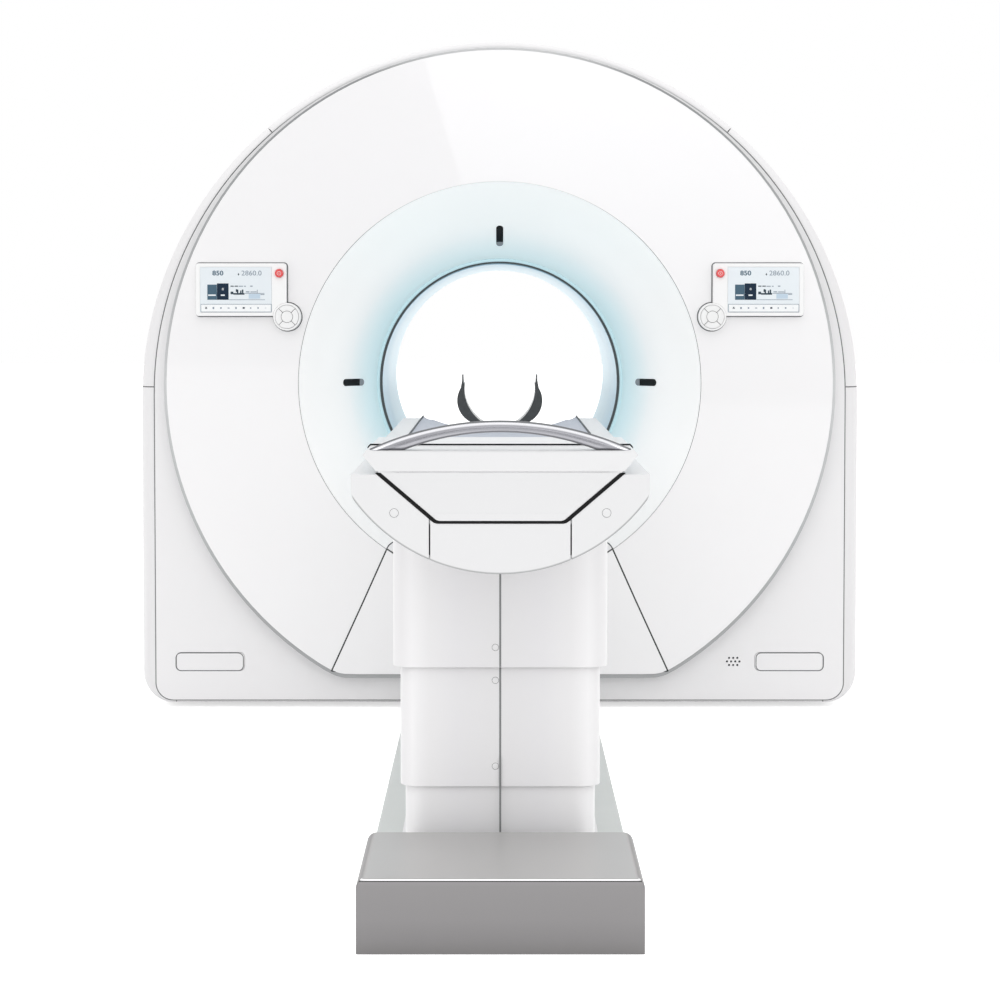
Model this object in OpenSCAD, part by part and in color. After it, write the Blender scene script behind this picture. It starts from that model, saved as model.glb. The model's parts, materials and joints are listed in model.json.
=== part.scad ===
// PET-CT scanner: a ring gantry with a spinning CT rotor and a fixed PET detector ring, and a
// patient couch that rises, falls and slides its pallet through the bore. +Z is up and +Y runs
// from the couch into the gantry. The origin is on the floor, below the bore axis, at the middle
// of the gantry's depth. All sizes are in millimetres.

/* [Bore] */
// Height of the bore axis above the floor
iso_z = 1035; // [1015:5:1045]
// Inner radius of the bore liner
bore_r = 380; // [370:1:385]
// Wall of the bore liner
liner_wall = 6; // [4:0.5:7]
// Width of the dark seal ring at the mouth of the bore
bore_ring_w = 8; // [8:0.5:10]
// Length of the bore ring along the bore
bore_ring_len = 20; // [12:1:30]
// Distance that the bore ring stands out of the funnel's mouth
bore_ring_stand = 4; // [2:0.5:8]
// Width of the light ring around the bore ring
light_ring_w = 10; // [6:0.5:14]
// Thickness of the light ring
light_ring_t = 8; // [4:0.5:12]

/* [Gantry covers] */
// Depth of the rear funnel from the rear panel to the bore liner's end
rear_funnel_depth = 100; // [90:1:110]
// Distance between the outer faces of the front and rear panels
gantry_depth = 1460; // [1450:5:1500]
// Distance from the rotor drum's edge to the round front cover's edge
disc_margin = 116; // [108:1:120]
// Distance from the round front cover's edge to the sides of the front panel
panel_margin = 48; // [44:1:56]
// Swell of the covers beyond the sides of the front panel
side_swell = 54; // [46:1:62]
// Distance of the centre of the covers' round top below the bore axis
shell_drop = 65; // [55:1:72]
// Height of the covers' lower edge above the floor
shell_bottom_z = 12; // [8:1:16]
// Radius of the covers' lower corners
shell_corner_r = 96; // [88:1:110]
// Distance of the centre of the front panel's round top below the bore axis
panel_drop = 37; // [30:1:42]
// Swell of the covers below the front panel
bottom_swell = 14; // [10:1:20]
// Radius of the panel's lower corners
panel_corner_r = 54; // [48:1:60]
// Depth over which the covers swell from the panel to their full width
edge_depth = 120; // [100:5:125]
// Wall of the moulded covers
cover_wall = 6; // [5:0.5:7]
// Width of the frame that backs the panels' edges
backing_w = 20; // [14:1:26]
// Open seam between neighbouring covers
seam = 3; // [2:0.5:4]
// Gap around the front panel
panel_gap = 1; // [0.6:0.1:1.5]
// Distance of the seam between the upper and lower side covers below the bore axis
side_split_drop = 12; // [-25:1:55]
// Angle above the horizontal at which the top cover ends
top_split_angle = 50; // [42:1:56]
// Distance from the covers' sides to the ends of the bottom skirt
skirt_setback = 118; // [108:1:148]

/* [Front cover] */
// Height of the flat cut across the bottom of the front cover
disc_cut_z = 116; // [108:1:126]
// Radius of the corners at the ends of the flat cut
disc_corner_r = 60; // [45:1:75]
// Height of the front cover above the front panel
disc_raise = 50; // [45:1:60]
// Width of the grey trim around the front cover
trim_w = 12; // [9:0.5:15]
// Step from the front cover down to the trim
trim_drop = 6; // [6:0.5:9]
// Width of the ledge behind the front cover's edge
ledge_w = 18; // [14:1:24]
// Radius at which the funnel meets the front cover
funnel_r = 634; // [620:1:645]
// Wall of the front funnel
funnel_wall_t = 8; // [6:0.5:10]
// Depth of the funnel from the front cover to the bore ring
funnel_depth = 240; // [225:1:255]
// Swell of the funnel's section towards the viewer
funnel_bulge = 14; // [8:1:20]
// Width of the flange that holds the funnel behind the front cover
funnel_flange = 20; // [14:1:26]
// Half width of the service cover at its top
service_top_half_w = 348; // [330:1:360]
// Half width of the service cover at the flat cut
service_foot_half_w = 536; // [530:1:545]
// Reach of the service cover above the funnel's lowest line
service_rise = 135; // [124:1:144]
// Radius of the service cover's upper corners
service_corner_r = 36; // [25:1:39]

/* [Laser windows] */
// Distance of the laser windows from the bore axis
laser_r = 477; // [469:1:489]
// Length of a laser window along its radius
laser_len = 94; // [86:1:100]
// Width of a laser window
laser_w = 22; // [18:1:24]
// Thickness of a laser window
laser_t = 10; // [8:0.5:12]
// Height of a laser window above the funnel's surface
laser_stand = 1; // [0.5:0.25:2]

/* [Displays and keypads] */
// Width of a display housing
display_w = 284; // [276:1:292]
// Height of a display housing
display_h = 165; // [160:1:172]
// Thickness of a display housing
display_t = 30; // [26:1:34]
// Radius of a display housing's corners
display_corner_r = 9; // [6:1:12]
// Distance of the display centres inwards from the round front cover's edge
display_edge_gap = 235; // [228:1:241]
// Height of the display centres above the bore axis
display_rise = 295; // [287:1:303]
// Width of a screen
screen_w = 224; // [216:1:228]
// Height of a screen
screen_h = 141; // [136:1:146]
// Thickness of a screen
screen_t = 5; // [3:0.5:8]
// Distance of the screen centres outwards from the display centres
screen_shift = 16; // [12:1:18]
// Radius of a stop button
estop_r = 13; // [11:0.5:14]
// Height of a stop button above the display face
estop_stand = 9; // [8:0.5:12]
// Travel of a stop button
estop_travel = 4; // [3:0.5:5]
// Height of the rim of a stop button's cap above the display face
estop_lift = 2; // [1:0.5:3]
// Radius of a stop button's stem
estop_stem_r = 10; // [8:0.5:12]
// Distance of the stop buttons inwards from the display centres
estop_shift = 120; // [116:1:122]
// Height of the stop buttons above the display centres
estop_rise = 51; // [46:1:55]
// Outer radius of a keypad pod
pod_r = 43.5; // [42:0.5:46]
// Thickness of a keypad pod
pod_t = 33; // [32:0.5:36]
// Radius of the key recess in a pod
pod_recess_r = 37; // [36:0.5:38.5]
// Radius of a centre key
centre_key_r = 18; // [15:0.5:20]
// Thickness of the keys
key_t = 8; // [6:0.5:10]
// Height of the keys above the pod face
key_stand = 2; // [2:0.25:3]
// Travel of the keys
key_travel = 1.2; // [0.8:0.1:1.4]
// Distance of the keypad centres inwards from the display centres
pod_shift = 144; // [140:1:148]
// Distance of the keypad centres below the display centres
pod_drop = 85; // [80:1:90]

/* [Panel fittings] */
// Width of an access plug
plug_w = 216; // [206:1:226]
// Height of an access plug
plug_h = 57; // [52:1:62]
// Radius of an access plug's corners
plug_corner_r = 15; // [10:1:20]
// Distance of the access plugs' centres from the sides of the front panel
plug_edge_gap = 173; // [166:1:179]
// Height of the access plugs and the speaker
plug_z = 148; // [142:1:154]
// Distance of the speaker from the centre of the access plug beside it
speaker_gap = 177; // [166:1:186]
// Depth of the speaker
speaker_d = 24; // [18:1:30]
// Radius of a speaker hole
speaker_hole_r = 3.5; // [2.5:0.25:4.5]
// Distance between speaker holes
speaker_pitch = 13.2; // [12:0.2:15]

/* [CT rotor] */
// Gap between the drive's coil ring and the base plate
drum_floor_gap = 35; // [25:1:45]
// Thickness of the rotor drum's plate
drum_t = 40; // [30:1:50]
// Distance of the drum plate's front behind the front panel
drum_setback = 310; // [300:1:315]
// Radius of the holes near the drum plate's edge
drum_hole_r = 24; // [18:1:30]
// Distance of those holes' centres from the drum plate's edge
drum_hole_edge = 50; // [42:1:60]
// Inner radius of the rotor's hub
hub_r = 430; // [420:1:435]
// Wall of the rotor's hub
hub_wall = 40; // [35:1:45]
// Length of the hub behind the drum plate
hub_len = 190; // [180:1:195]
// Radial thickness of the main bearing
bearing_w = 60; // [50:1:70]
// Length of the main bearing
bearing_len = 60; // [50:1:70]
// Gap between the drum plate and the main bearing
bearing_gap = 40; // [30:1:50]
// Running clearance of the bearing and the drive
run_gap = 0.5; // [0.4:0.05:0.6]
// Length of the parts that stand on the drum's front
rotor_stand = 220; // [200:5:225]
// Radial thickness of the drive's coil ring
coil_w = 50; // [40:1:55]
// Reach of the coil ring beyond each face of the drum plate
coil_overhang = 20; // [14:1:26]
// Width of the flange that holds the coil ring on the stator
coil_flange = 60; // [50:1:65]
// Radial width of the slip ring
slip_w = 90; // [80:1:100]
// Thickness of the slip ring
slip_t = 24; // [18:1:30]
// Distance from the drum's edge in to the detector arc's inner face
detector_setback = 270; // [240:1:272]
// Radial depth of the detector arc
detector_w = 150; // [120:5:170]
// Angle that the detector arc spans
detector_angle = 70; // [56:2:80]
// Radius of the X-ray tube's housing
tube_r = 120; // [105:1:130]
// Width of the foot around the X-ray tube's housing
tube_foot_w = 30; // [20:1:34]
// Thickness of the X-ray tube's foot
tube_foot_t = 60; // [45:1:75]
// Half width of the beam shaper below the X-ray tube
shaper_half_w = 90; // [75:1:100]
// Half height of the beam shaper
shaper_half_d = 40; // [32:1:48]
// Distance from the drum's edge in to the middle of the rotor's two boxes
box_setback = 210; // [205:1:215]
// Half width of the rotor's two boxes
box_half_w = 190; // [160:1:200]
// Half depth of the rotor's two boxes
box_half_d = 110; // [95:1:115]
// Radius of the boxes' corners
box_corner_r = 15; // [10:1:22]
// Height of the two boxes above the bore axis, as an angle about it
box_angle = 10; // [5:1:15]

/* [PET ring] */
// Number of detector modules
module_count = 24; // [20:2:28]
// Inner radius of the ring of modules
module_r = 398; // [396:1:402]
// Radial depth of a module
module_d = 110; // [90:5:120]
// Length of a module along the bore
module_len = 380; // [340:10:390]
// Outer radius of the PET frame
pet_r = 720; // [690:5:740]
// Thickness of the PET frame's end rings
pet_ring_t = 24; // [18:1:30]
// Distance of the PET frame's first ring behind the gantry's middle
pet_y = 20; // [10:1:30]
// Width that the PET frame's legs lack on each side of its rings
pet_leg_inset = 120; // [100:1:140]
// Radius of the holes through the PET frame's rings
pet_hole_r = 50; // [40:1:56]
// Distance of those holes' centres from the rings' edge
pet_hole_edge = 90; // [84:1:98]
// Radius of the tie bars between the PET frame's rings
tie_r = 25; // [20:1:28]
// Distance of the tie bars' centres from the rings' edge
tie_edge = 40; // [32:1:46]

/* [Gantry frame] */
// Distance from the covers' sides to the base plate's edges
base_edge_gap = 248; // [228:1:268]
// Thickness of the base plate
base_t = 20; // [16:1:24]
// Height of the beams on the base plate
beam_h = 90; // [80:1:100]
// Width of the beams on the base plate
beam_w = 80; // [70:1:90]
// Wall of the hollow beams
beam_wall = 6; // [5:0.5:8]
// Radius of the anchor holes
anchor_r = 9; // [7:0.5:11]
// Distance of the anchor holes from the base plate's side edges
anchor_side_gap = 70; // [60:1:75]
// Distance of the anchor holes from the base plate's front and rear edges
anchor_end_gap = 160; // [150:1:170]
// Width of the rim around the stator's windows
stator_rim = 30; // [24:1:36]
// Width that the stator's legs lack on each side of its plate
stator_leg_inset = 130; // [110:1:150]
// Radius of the stator's windows
window_r = 110; // [95:1:115]
// Width of the cover frame's hoops along the bore
hoop_w = 30; // [24:1:36]
// Distance of the hoops from the swelling edges of the covers
hoop_setback = 10; // [6:1:16]
// Radial depth of the cover frame's hoops
hoop_d = 60; // [56:1:80]
// Angle that each stay of the cover frame spans
stay_angle = 3; // [2:0.5:5]

/* [Couch base] */
// Distance of the couch's front from the gantry's middle
couch_front_y = 3960; // [3940:5:3980]
// Half width of the couch base
couch_half_w = 282.7; // [276:0.5:290]
// Height of the front base cover
base_cover_h = 150; // [140:1:160]
// Depth of the front base cover
base_cover_d = 458; // [440:1:465]
// Radius of the front base cover's long edges
base_cover_r = 21; // [15:1:26]
// Wall of the front base cover
base_cover_wall = 3; // [2:0.5:4]
// Height of the floor plate
floor_plate_h = 70; // [64:1:76]
// Radius of the floor plate's long edges
floor_plate_r = 6; // [4:1:10]
// Wall of the floor plate's hollow section
floor_plate_wall = 8; // [6:0.5:12]

/* [Couch column] */
// Distance of the column's middle from the gantry's middle
column_y = 3030; // [3020:1:3035]
// Half width of the upper column cover
upper_half_w = 231; // [229:0.5:233]
// Half length of the upper column cover
upper_half_l = 410; // [405:1:415]
// Height of the upper column cover's lower edge
upper_foot_z = 494; // [488:1:500]
// Half width of the middle column cover
middle_half_w = 216; // [214:0.5:218]
// Height of the middle column cover's lower edge
middle_foot_z = 234; // [230:1:240]
// Half width of the lower column cover
lower_half_w = 205.6; // [204:0.2:207]
// Height of the top of the lower column cover
lower_top_z = 300; // [285:1:310]
// Corner radius of the upper column cover
column_corner_r = 45; // [40:1:50]
// Wall of the column covers
column_wall = 5; // [4:0.5:6]
// Half width of the collar at the column's foot
collar_half_w = 220; // [216:1:222]
// Height of the collar above the floor
collar_top_z = 85; // [80:1:88]
// Depth of the seam down the front of the column covers
column_seam_d = 1.5; // [1:0.5:2.5]
// Half width of the outer lifting tube
lift_half_w = 160; // [150:1:165]
// Wall of the lifting tubes
lift_wall = 10; // [8:0.5:12]
// Sliding clearance between the lifting tubes
lift_gap = 0.5; // [0.4:0.1:0.8]
// Radius of the lifting tubes' corners
lift_corner_r = 20; // [14:1:26]
// Thickness of the plate that carries the middle column cover
carrier_t = 10; // [8:1:14]
// Gap that the lowered middle tube keeps above the floor plate
lift_foot_gap = 5; // [3:1:8]
// Height of the top of the outer lifting tube
lift_outer_top_z = 360; // [345:1:365]
// Length of the middle lifting tube
lift_middle_l = 330; // [315:1:332]
// Length of the inner lifting tube
lift_inner_l = 335; // [325:1:337]
// Radius of the lifting screw
screw_r = 22; // [18:1:26]
// Travel of the couch below its rest height
lift_down = 400; // [380:5:405]
// Share of the couch's travel that the middle stage makes
middle_share = 0.35; // [0.33:0.01:0.36]

/* [Couch beam] */
// Distance of the beam's front from the gantry's middle
beam_front_y = 3790; // [3770:5:3810]
// Gap between the beam's far end and the front cover
beam_end_gap = 66; // [55:1:80]
// Half width of the beam
beam_half_w = 300; // [292:1:308]
// Height of the beam's deck
deck_z = 929; // [926:1:932]
// Height of the lowest line of the beam's round belly
belly_z = 729; // [725:1:735]
// Radius of the belly
belly_r = 365; // [358:1:372]
// Wall of the beam
beam_skin = 8; // [6:0.5:9]
// Thickness of the beam's front covers and end plate
beam_end_t = 8; // [6:0.5:10]
// Half width of the trough at the deck
trough_half_w = 247; // [243:1:250]
// Half width of the trough's flat floor
trough_floor_half_w = 132; // [126:1:138]
// Height of the trough's floor
trough_z = 831; // [828:1:834]
// Radius of the trough's lower corners
trough_corner_r = 22; // [16:1:28]
// Width of the beam's belly that rests on the upper column cover, inside its wall
beam_seat_w = 5; // [3:1:8]
// Gap between the trough and what slides in it
trough_gap = 5; // [4.5:0.5:6]
// Distance from the middle to the seams of the beam's front covers
cheek_split_x = 142; // [139:1:148]

/* [Pallet] */
// Length of the carriage
carriage_l = 594; // [580:1:610]
// Height of the crease across the carriage's front
crease_z = 934; // [932:1:937]
// Half width of the carriage's wings
wing_half_w = 277; // [272:1:282]
// Height of the wings' tips
wing_z = 968; // [964:1:971]
// Height of the carriage's top
carriage_top_z = 977; // [974:1:980]
// Half width of the carriage's top
carriage_top_half_w = 270; // [266:1:272]
// Wall of the carriage
carriage_wall = 8; // [6:0.5:10]
// Distance from the carriage's front to the gap across its top
cross_gap_y = 220; // [205:1:235]
// Width of the gap across the carriage's top
cross_gap_w = 5; // [3:0.5:8]
// Distance between the carriage's rails
rail_span = 160; // [150:1:170]
// Width of a rail
rail_w = 24; // [20:1:28]
// Height of a rail
rail_h = 10; // [8:0.5:11]
// Clearance of the carriage's channels at the sides of the rails
rail_side_gap = 4; // [3:0.5:6]
// Distance of the rails' ends behind the beam's front
rail_setback = 110; // [95:1:140]
// Length of the rails beyond the carriage at its full travel
rail_run_out = 330; // [300:5:335]
// Length of the glide block under the pallet's tip
glide_l = 60; // [45:1:80]
// Half width of the glide block
glide_half_w = 40; // [32:1:48]
// Thickness of the pallet's board below the pad
pallet_t = 20; // [16:1:24]
// Gap between the pallet's tip and the beam's far end
pallet_tip_gap = 34; // [25:1:45]
// Height of the lowest line of the pad's top
pad_z = 896; // [893:1:899]
// Radius of the pad's hollow top
pad_r = 588; // [575:1:600]
// Thickness of the pad
pad_t = 25; // [20:1:28]
// Half width of the pad
pad_half_w = 235; // [230:1:236]
// Length of the head end that the pad leaves bare
head_end_l = 205; // [195:1:220]
// Clearance of seated pieces
seat_gap = 0.3; // [0.2:0.05:0.5]
// Travel of the pallet into the bore
pallet_travel = 2000; // [1900:10:2100]

/* [Grab handle and head holder] */
// Height of the grab handle's top
handle_top_z = 1036; // [1032:1:1040]
// Radius of the grab handle's outer arc
handle_outer_r = 636; // [630:1:642]
// Height of the underside of the grab handle
handle_under_z = 1013; // [1010:0.5:1016]
// Radius of the grab handle's inner arc
handle_inner_r = 545; // [535:1:555]
// Depth of the grab handle
handle_d = 40; // [34:1:46]
// Distance of the grab handle behind the carriage's front
handle_setback = 10; // [6:1:16]
// Length of the head holder
holder_l = 170; // [150:5:180]
// Radius of the head holder's hollow
holder_r = 122.5; // [118:0.5:126]
// Height of the centre of the head holder's hollow
holder_z = 1026; // [1022:1:1030]
// Height of the head holder's foot
holder_foot_h = 53; // [49:1:56]
// Height of the head holder's tips above the centre of its hollow
holder_tip_rise = 43; // [38:1:48]
// Radius of the round back of the head holder's horns
horn_back_r = 73; // [71:1:75]
// Half width of the head holder's foot
holder_foot_half_w = 62; // [58:1:66]

/* [Hidden] */

$fn = 96;
// Steps along the covers' round top and around each of their lower corners
TOP_STEPS = 64;
CORNER_STEPS = 6;
// Sides of the widest arcs
ARC_SIDES = 360;
// Clearance of the cover frame inside the covers' flat-sided rounding
HOOP_GAP = 0.9;
// Angles at which the swelling edge of the covers is sampled
EDGE_STEPS = [0, 30, 60, 90];
// Points along the funnel's section
FUNNEL_STEPS = 8;
// Reach of the shapes that only cut
FAR = 2600;
// Overlap of a cut with what it cuts, and of joined solids
BITE = 1;
// How far two arcs that follow each other cross, because arcs that only touch leave slivers
CROSSING = 0.1;

// Points of a horn beside and above its round back, from the middle of the head holder's hollow
HORN_POINTS = [[95, -36], [130, -36], [125, -16], [119, 3.5], [115, 25],
    [115, holder_tip_rise], [111, holder_tip_rise], [110, 25], [108, 5]];
// Distance from the middle to the centre of the arc that hollows the holder's opposite half
HOLLOW_SHIFT = 15;

drum_r = iso_z - base_t - drum_floor_gap - coil_w;
disc_r = drum_r + disc_margin;
panel_half_w = disc_r + panel_margin;
shell_half_w = panel_half_w + side_swell;
panel_axis_z = iso_z - panel_drop;
shell_axis_z = iso_z - shell_drop;
panel_bottom_z = shell_bottom_z + bottom_swell;
side_split_z = iso_z - side_split_drop;
skirt_half_w = shell_half_w - skirt_setback;
service_top_z = iso_z - funnel_r + service_rise;
display_x = disc_r - display_edge_gap;
display_z = iso_z + display_rise;
plug_x = panel_half_w - plug_edge_gap;
speaker_x = plug_x - speaker_gap;

panel_y = gantry_depth / 2;
disc_y = panel_y + disc_raise;
drum_y = panel_y - drum_setback;
base_half_w = shell_half_w - base_edge_gap;
base_half_d = panel_y - edge_depth - hoop_setback - hoop_w;
anchor_x = 2 * (base_half_w - anchor_side_gap);
anchor_y = 2 * (base_half_d - anchor_end_gap);
detector_r = drum_r - detector_setback;
trim_y = disc_y - trim_drop;
mouth_y = disc_y - funnel_depth;
bore_ring_r = bore_r + bore_ring_w;
bore_ring_y = -mouth_y - bore_ring_stand + bore_ring_len;
funnel_bore_r = bore_ring_r + light_ring_w;
liner_r = bore_r + liner_wall;
rear_mouth_y = panel_y - rear_funnel_depth;
beam_top_z = base_t + beam_h;
hub_end_y = -drum_y + drum_t + hub_len;
hub_outer_r = hub_r + hub_wall;
bearing_y = -drum_y + drum_t + bearing_gap;
stator_y = bearing_y;
stator_t = beam_w;
coil_y = -drum_y - coil_overhang;
coil_len = drum_t + 2 * coil_overhang;
slip_y = hub_end_y - slip_t;
pet_end_y = pet_y + pet_ring_t + module_len;
display_face_y = disc_y + display_t;
pod_face_y = disc_y + pod_t;
key_gap = 0.4;
estop_well_d = estop_travel - estop_lift + 1;
estop_stem_l = 6;
lift_middle_half_w = lift_half_w - lift_wall - lift_gap;
lift_inner_half_w = lift_middle_half_w - lift_wall - lift_gap;
trough_ceiling_z = trough_z - beam_skin;
lift_middle_foot_z = floor_plate_h + lift_foot_gap + lift_down * middle_share;
lift_middle_top_z = lift_middle_foot_z + lift_middle_l;
lift_inner_foot_z = trough_ceiling_z - lift_inner_l;
beam_end_y = disc_y + beam_end_gap;
carriage_end_y = beam_front_y - carriage_l;
pallet_tip_y = beam_end_y + pallet_tip_gap;
pad_axis_z = pad_z + pad_r;
pad_tip_y = pallet_tip_y + head_end_l;
trough_slope = (trough_half_w - trough_floor_half_w) / (deck_z - trough_z);
sides = [-1, 1];

// ---- Shared shapes ----

// A flat shape drawn in X and Z, made solid from one Y to another
module slab(from_y, to_y) {
    translate([0, to_y, 0]) rotate([90, 0, 0]) linear_extrude(to_y - from_y) children();
}

// A section drawn as radius and Y, turned around the bore axis
module around_bore() {
    translate([0, 0, iso_z]) rotate([-90, 0, 0]) rotate_extrude() children();
}

module ring(inner, outer) {
    difference() {
        circle(outer);
        circle(inner);
    }
}

module tube_along_bore(inner, outer, from_y, to_y) {
    slab(from_y, to_y) translate([0, iso_z]) ring(inner, outer);
}

function unit(v) = v / norm(v);

// What an arc of radius r takes off one corner of a polygon
module corner_waste(before, corner, after, r) {
    a = unit(before - corner);
    b = unit(after - corner);
    inward = unit(a + b);
    half = acos(a * b) / 2;
    centre = corner + inward * r / sin(half);
    difference() {
        polygon([corner + a * r / tan(half), corner - inward * BITE, corner + b * r / tan(half), centre]);
        translate(centre) circle(r + CROSSING);
    }
}

// A convex polygon whose corners are rounded by the radii listed, one for each corner
module rounded_polygon(points, radii) {
    count = len(points);
    difference() {
        polygon(points);
        for (i = [0 : count - 1])
            if (radii[i] > 0)
                corner_waste(points[(i + count - 1) % count], points[i], points[(i + 1) % count],
                    radii[i]);
    }
}

module rounded_box(half_w, half_h, r) {
    union() {
        square([2 * (half_w - r), 2 * half_h], center = true);
        square([2 * half_w, 2 * (half_h - r)], center = true);
        for (x = sides, y = sides)
            translate([x * (half_w - r), y * (half_h - r)]) circle(r);
    }
}

// ---- Gantry outlines ----

// The half of a circle that lies above its centre
module half_disc(r) {
    intersection() {
        circle(r, $fn = ARC_SIDES);
        translate([-r, 0]) square([2 * r, r]);
    }
}

// A round top on straight sides, with rounded lower corners
module gantry_outline(half_w, axis_z, foot_z, r) {
    union() {
        translate([0, axis_z]) half_disc(half_w);
        translate([-half_w, foot_z + r]) square([2 * half_w, axis_z - foot_z - r]);
        translate([r - half_w, foot_z]) square([2 * (half_w - r), 2 * r]);
        for (x = sides)
            translate([x * (half_w - r), foot_z + r]) circle(r);
    }
}

// The same outline as points, counter-clockwise from the right-hand end of the round top
function outline_points(half_w, axis_z, foot_z, r) = concat(
    [for (i = [0 : TOP_STEPS]) let (a = 180 * i / TOP_STEPS)
        [half_w * cos(a), axis_z + half_w * sin(a)]],
    [for (corner = [0, 1], i = [0 : CORNER_STEPS]) let (a = 180 + 90 * (corner + i / CORNER_STEPS))
        [(2 * corner - 1) * (half_w - r) + r * cos(a), foot_z + r + r * sin(a)]]);

module panel_outline(grow) {
    gantry_outline(panel_half_w + grow, panel_axis_z, panel_bottom_z - grow, panel_corner_r + grow);
}

module shell_outline(grow) {
    gantry_outline(shell_half_w + grow, shell_axis_z, shell_bottom_z - grow, shell_corner_r + grow);
}

function between(a, b, share) = a + (b - a) * share;

// The covers' outline at one angle of the swelling edge, as points at one Y
function shell_level(side, angle, inset) =
    let (share = sin(angle),
        y = side * (panel_y - inset - (edge_depth - inset) * (1 - cos(angle))),
        outline = outline_points(
            between(panel_half_w + seam, shell_half_w - inset, share),
            between(panel_axis_z, shell_axis_z, share),
            between(panel_bottom_z - seam, shell_bottom_z + inset, share),
            between(panel_corner_r + seam, shell_corner_r - inset, share)))
    [for (p = outline) [p[0], y, p[1]]];

// The covers' body, swelling from the panels to full width at front and rear, inset all round
module shell_body(inset) {
    last = len(EDGE_STEPS) - 1;
    levels = concat(
        [for (i = [0 : last]) shell_level(-1, EDGE_STEPS[i], inset)],
        [for (i = [last : -1 : 0]) shell_level(1, EDGE_STEPS[i], inset)]);
    n = len(levels[0]);
    count = len(levels);
    polyhedron(
        points = [for (level = levels, point = level) point],
        faces = concat(
            [[for (i = [n - 1 : -1 : 0]) i]],
            [for (k = [0 : count - 2], i = [0 : n - 1], half = [0, 1])
                let (a = k * n + i, b = k * n + (i + 1) % n)
                half == 0 ? [a, b, b + n] : [a, b + n, a + n]],
            [[for (i = [0 : n - 1]) (count - 1) * n + i]]));
}

// The whole moulded shell, open at front and rear where the panels close it
module shell_ring() {
    difference() {
        shell_body(0);
        shell_body(cover_wall);
        slab(-FAR, FAR) panel_outline(panel_gap);
    }
}

// The slots that part the shell at the top cover's ends
module top_seams() {
    for (angle = [top_split_angle, 180 - top_split_angle])
        translate([0, shell_axis_z]) rotate(angle) translate([0, -seam / 2]) square([FAR, seam]);
}

// The wedge between two angles about the middle of the shell's round top
module wedge(from_angle, to_angle) {
    middle = (from_angle + to_angle) / 2;
    translate([0, shell_axis_z])
        polygon([
            [0, 0],
            [FAR * cos(from_angle), FAR * sin(from_angle)],
            [FAR * cos(middle), FAR * sin(middle)] * 2,
            [FAR * cos(to_angle), FAR * sin(to_angle)],
        ]);
}

// ---- Gantry covers ----

module top_cover() {
    color("#f2f1f1") intersection() {
        shell_ring();
        slab(-FAR, FAR) difference() {
            wedge(top_split_angle, 180 - top_split_angle);
            top_seams();
        }
    }
}

module upper_side_covers() {
    color("#f0f0f0") intersection() {
        shell_ring();
        slab(-FAR, FAR) difference() {
            translate([-FAR, side_split_z + seam / 2]) square([2 * FAR, FAR]);
            wedge(top_split_angle, 180 - top_split_angle);
            top_seams();
        }
    }
}

module lower_side_covers() {
    color("#efefef") intersection() {
        shell_ring();
        slab(-FAR, FAR) for (side = sides)
            translate([side > 0 ? skirt_half_w + seam / 2 : -FAR, -FAR])
                square([FAR - skirt_half_w - seam / 2, FAR + side_split_z - seam / 2]);
    }
}

module bottom_skirt() {
    color("#ececec") difference() {
        intersection() {
            shell_ring();
            slab(-FAR, FAR) translate([seam / 2 - skirt_half_w, 0])
                square([2 * skirt_half_w - seam, shell_corner_r]);
        }
        slab(-base_half_d, base_half_d) square([2 * FAR, FAR], center = true);
    }
}

module speaker_holes(r) {
    for (row = [-1 : 1], step = [0 : 3 - abs(row)])
        translate([
            speaker_x + (step - (3 - abs(row)) / 2) * speaker_pitch,
            plug_z + row * speaker_pitch * sin(60)
        ]) circle(r);
}

module plug_places(grow) {
    for (side = sides)
        translate([side * plug_x, plug_z])
            rounded_box(plug_w / 2 + grow, plug_h / 2 + grow, plug_corner_r + grow);
}

module front_panel() {
    color("#f3f2f2") slab(-panel_y, -panel_y + cover_wall) difference() {
        panel_outline(0);
        disc_outline(trim_w + ledge_w);
        plug_places(seam / 2);
        speaker_holes(speaker_hole_r);
    }
}

module access_plugs() {
    color("#eeeeee") {
        slab(-panel_y, -panel_y + cover_wall) plug_places(0);
        slab(-panel_y + cover_wall, -panel_y + 2 * cover_wall) plug_places(cover_wall);
    }
}

module speaker() {
    color("#3a3d40") slab(-panel_y + cover_wall, -panel_y + cover_wall + speaker_d)
        translate([speaker_x, plug_z]) circle(3 * speaker_pitch);
}

// The round front cover's outline with its flat cut and rounded ends, inset all round
module disc_outline(inset) {
    r = disc_r - inset;
    corner_r = disc_corner_r - inset / 2;
    drop = iso_z - disc_cut_z - inset;
    corner_x = sqrt(pow(r - corner_r + CROSSING, 2) - pow(drop - corner_r, 2));
    outward = unit([corner_x, corner_r - drop]);
    translate([0, iso_z]) difference() {
        circle(r);
        translate([-FAR, -FAR - drop]) square([2 * FAR, FAR]);
        for (side = sides)
            scale([side, 1])
                difference() {
                    polygon([
                        outward * (r + BITE),
                        [corner_x, corner_r - drop],
                        [corner_x, -drop - BITE],
                        [FAR / 4, -drop - BITE],
                    ]);
                    translate([corner_x, corner_r - drop]) circle(corner_r);
                }
    }
}

module service_outline(inset) {
    rise = service_top_z - disc_cut_z;
    lean = (service_foot_half_w - service_top_half_w) / rise;
    foot_half_w = service_foot_half_w + lean * disc_cut_z - inset * norm([1, lean]);
    top_half_w = service_top_half_w - inset * norm([1, lean]) + inset * lean;
    rounded_polygon(
        [[-foot_half_w, 0], [foot_half_w, 0],
            [top_half_w, service_top_z - inset], [-top_half_w, service_top_z - inset]],
        [0, 0, service_corner_r, service_corner_r]);
}

module service_cut() {
    slab(-FAR, -panel_y - BITE) service_outline(0);
}

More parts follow.
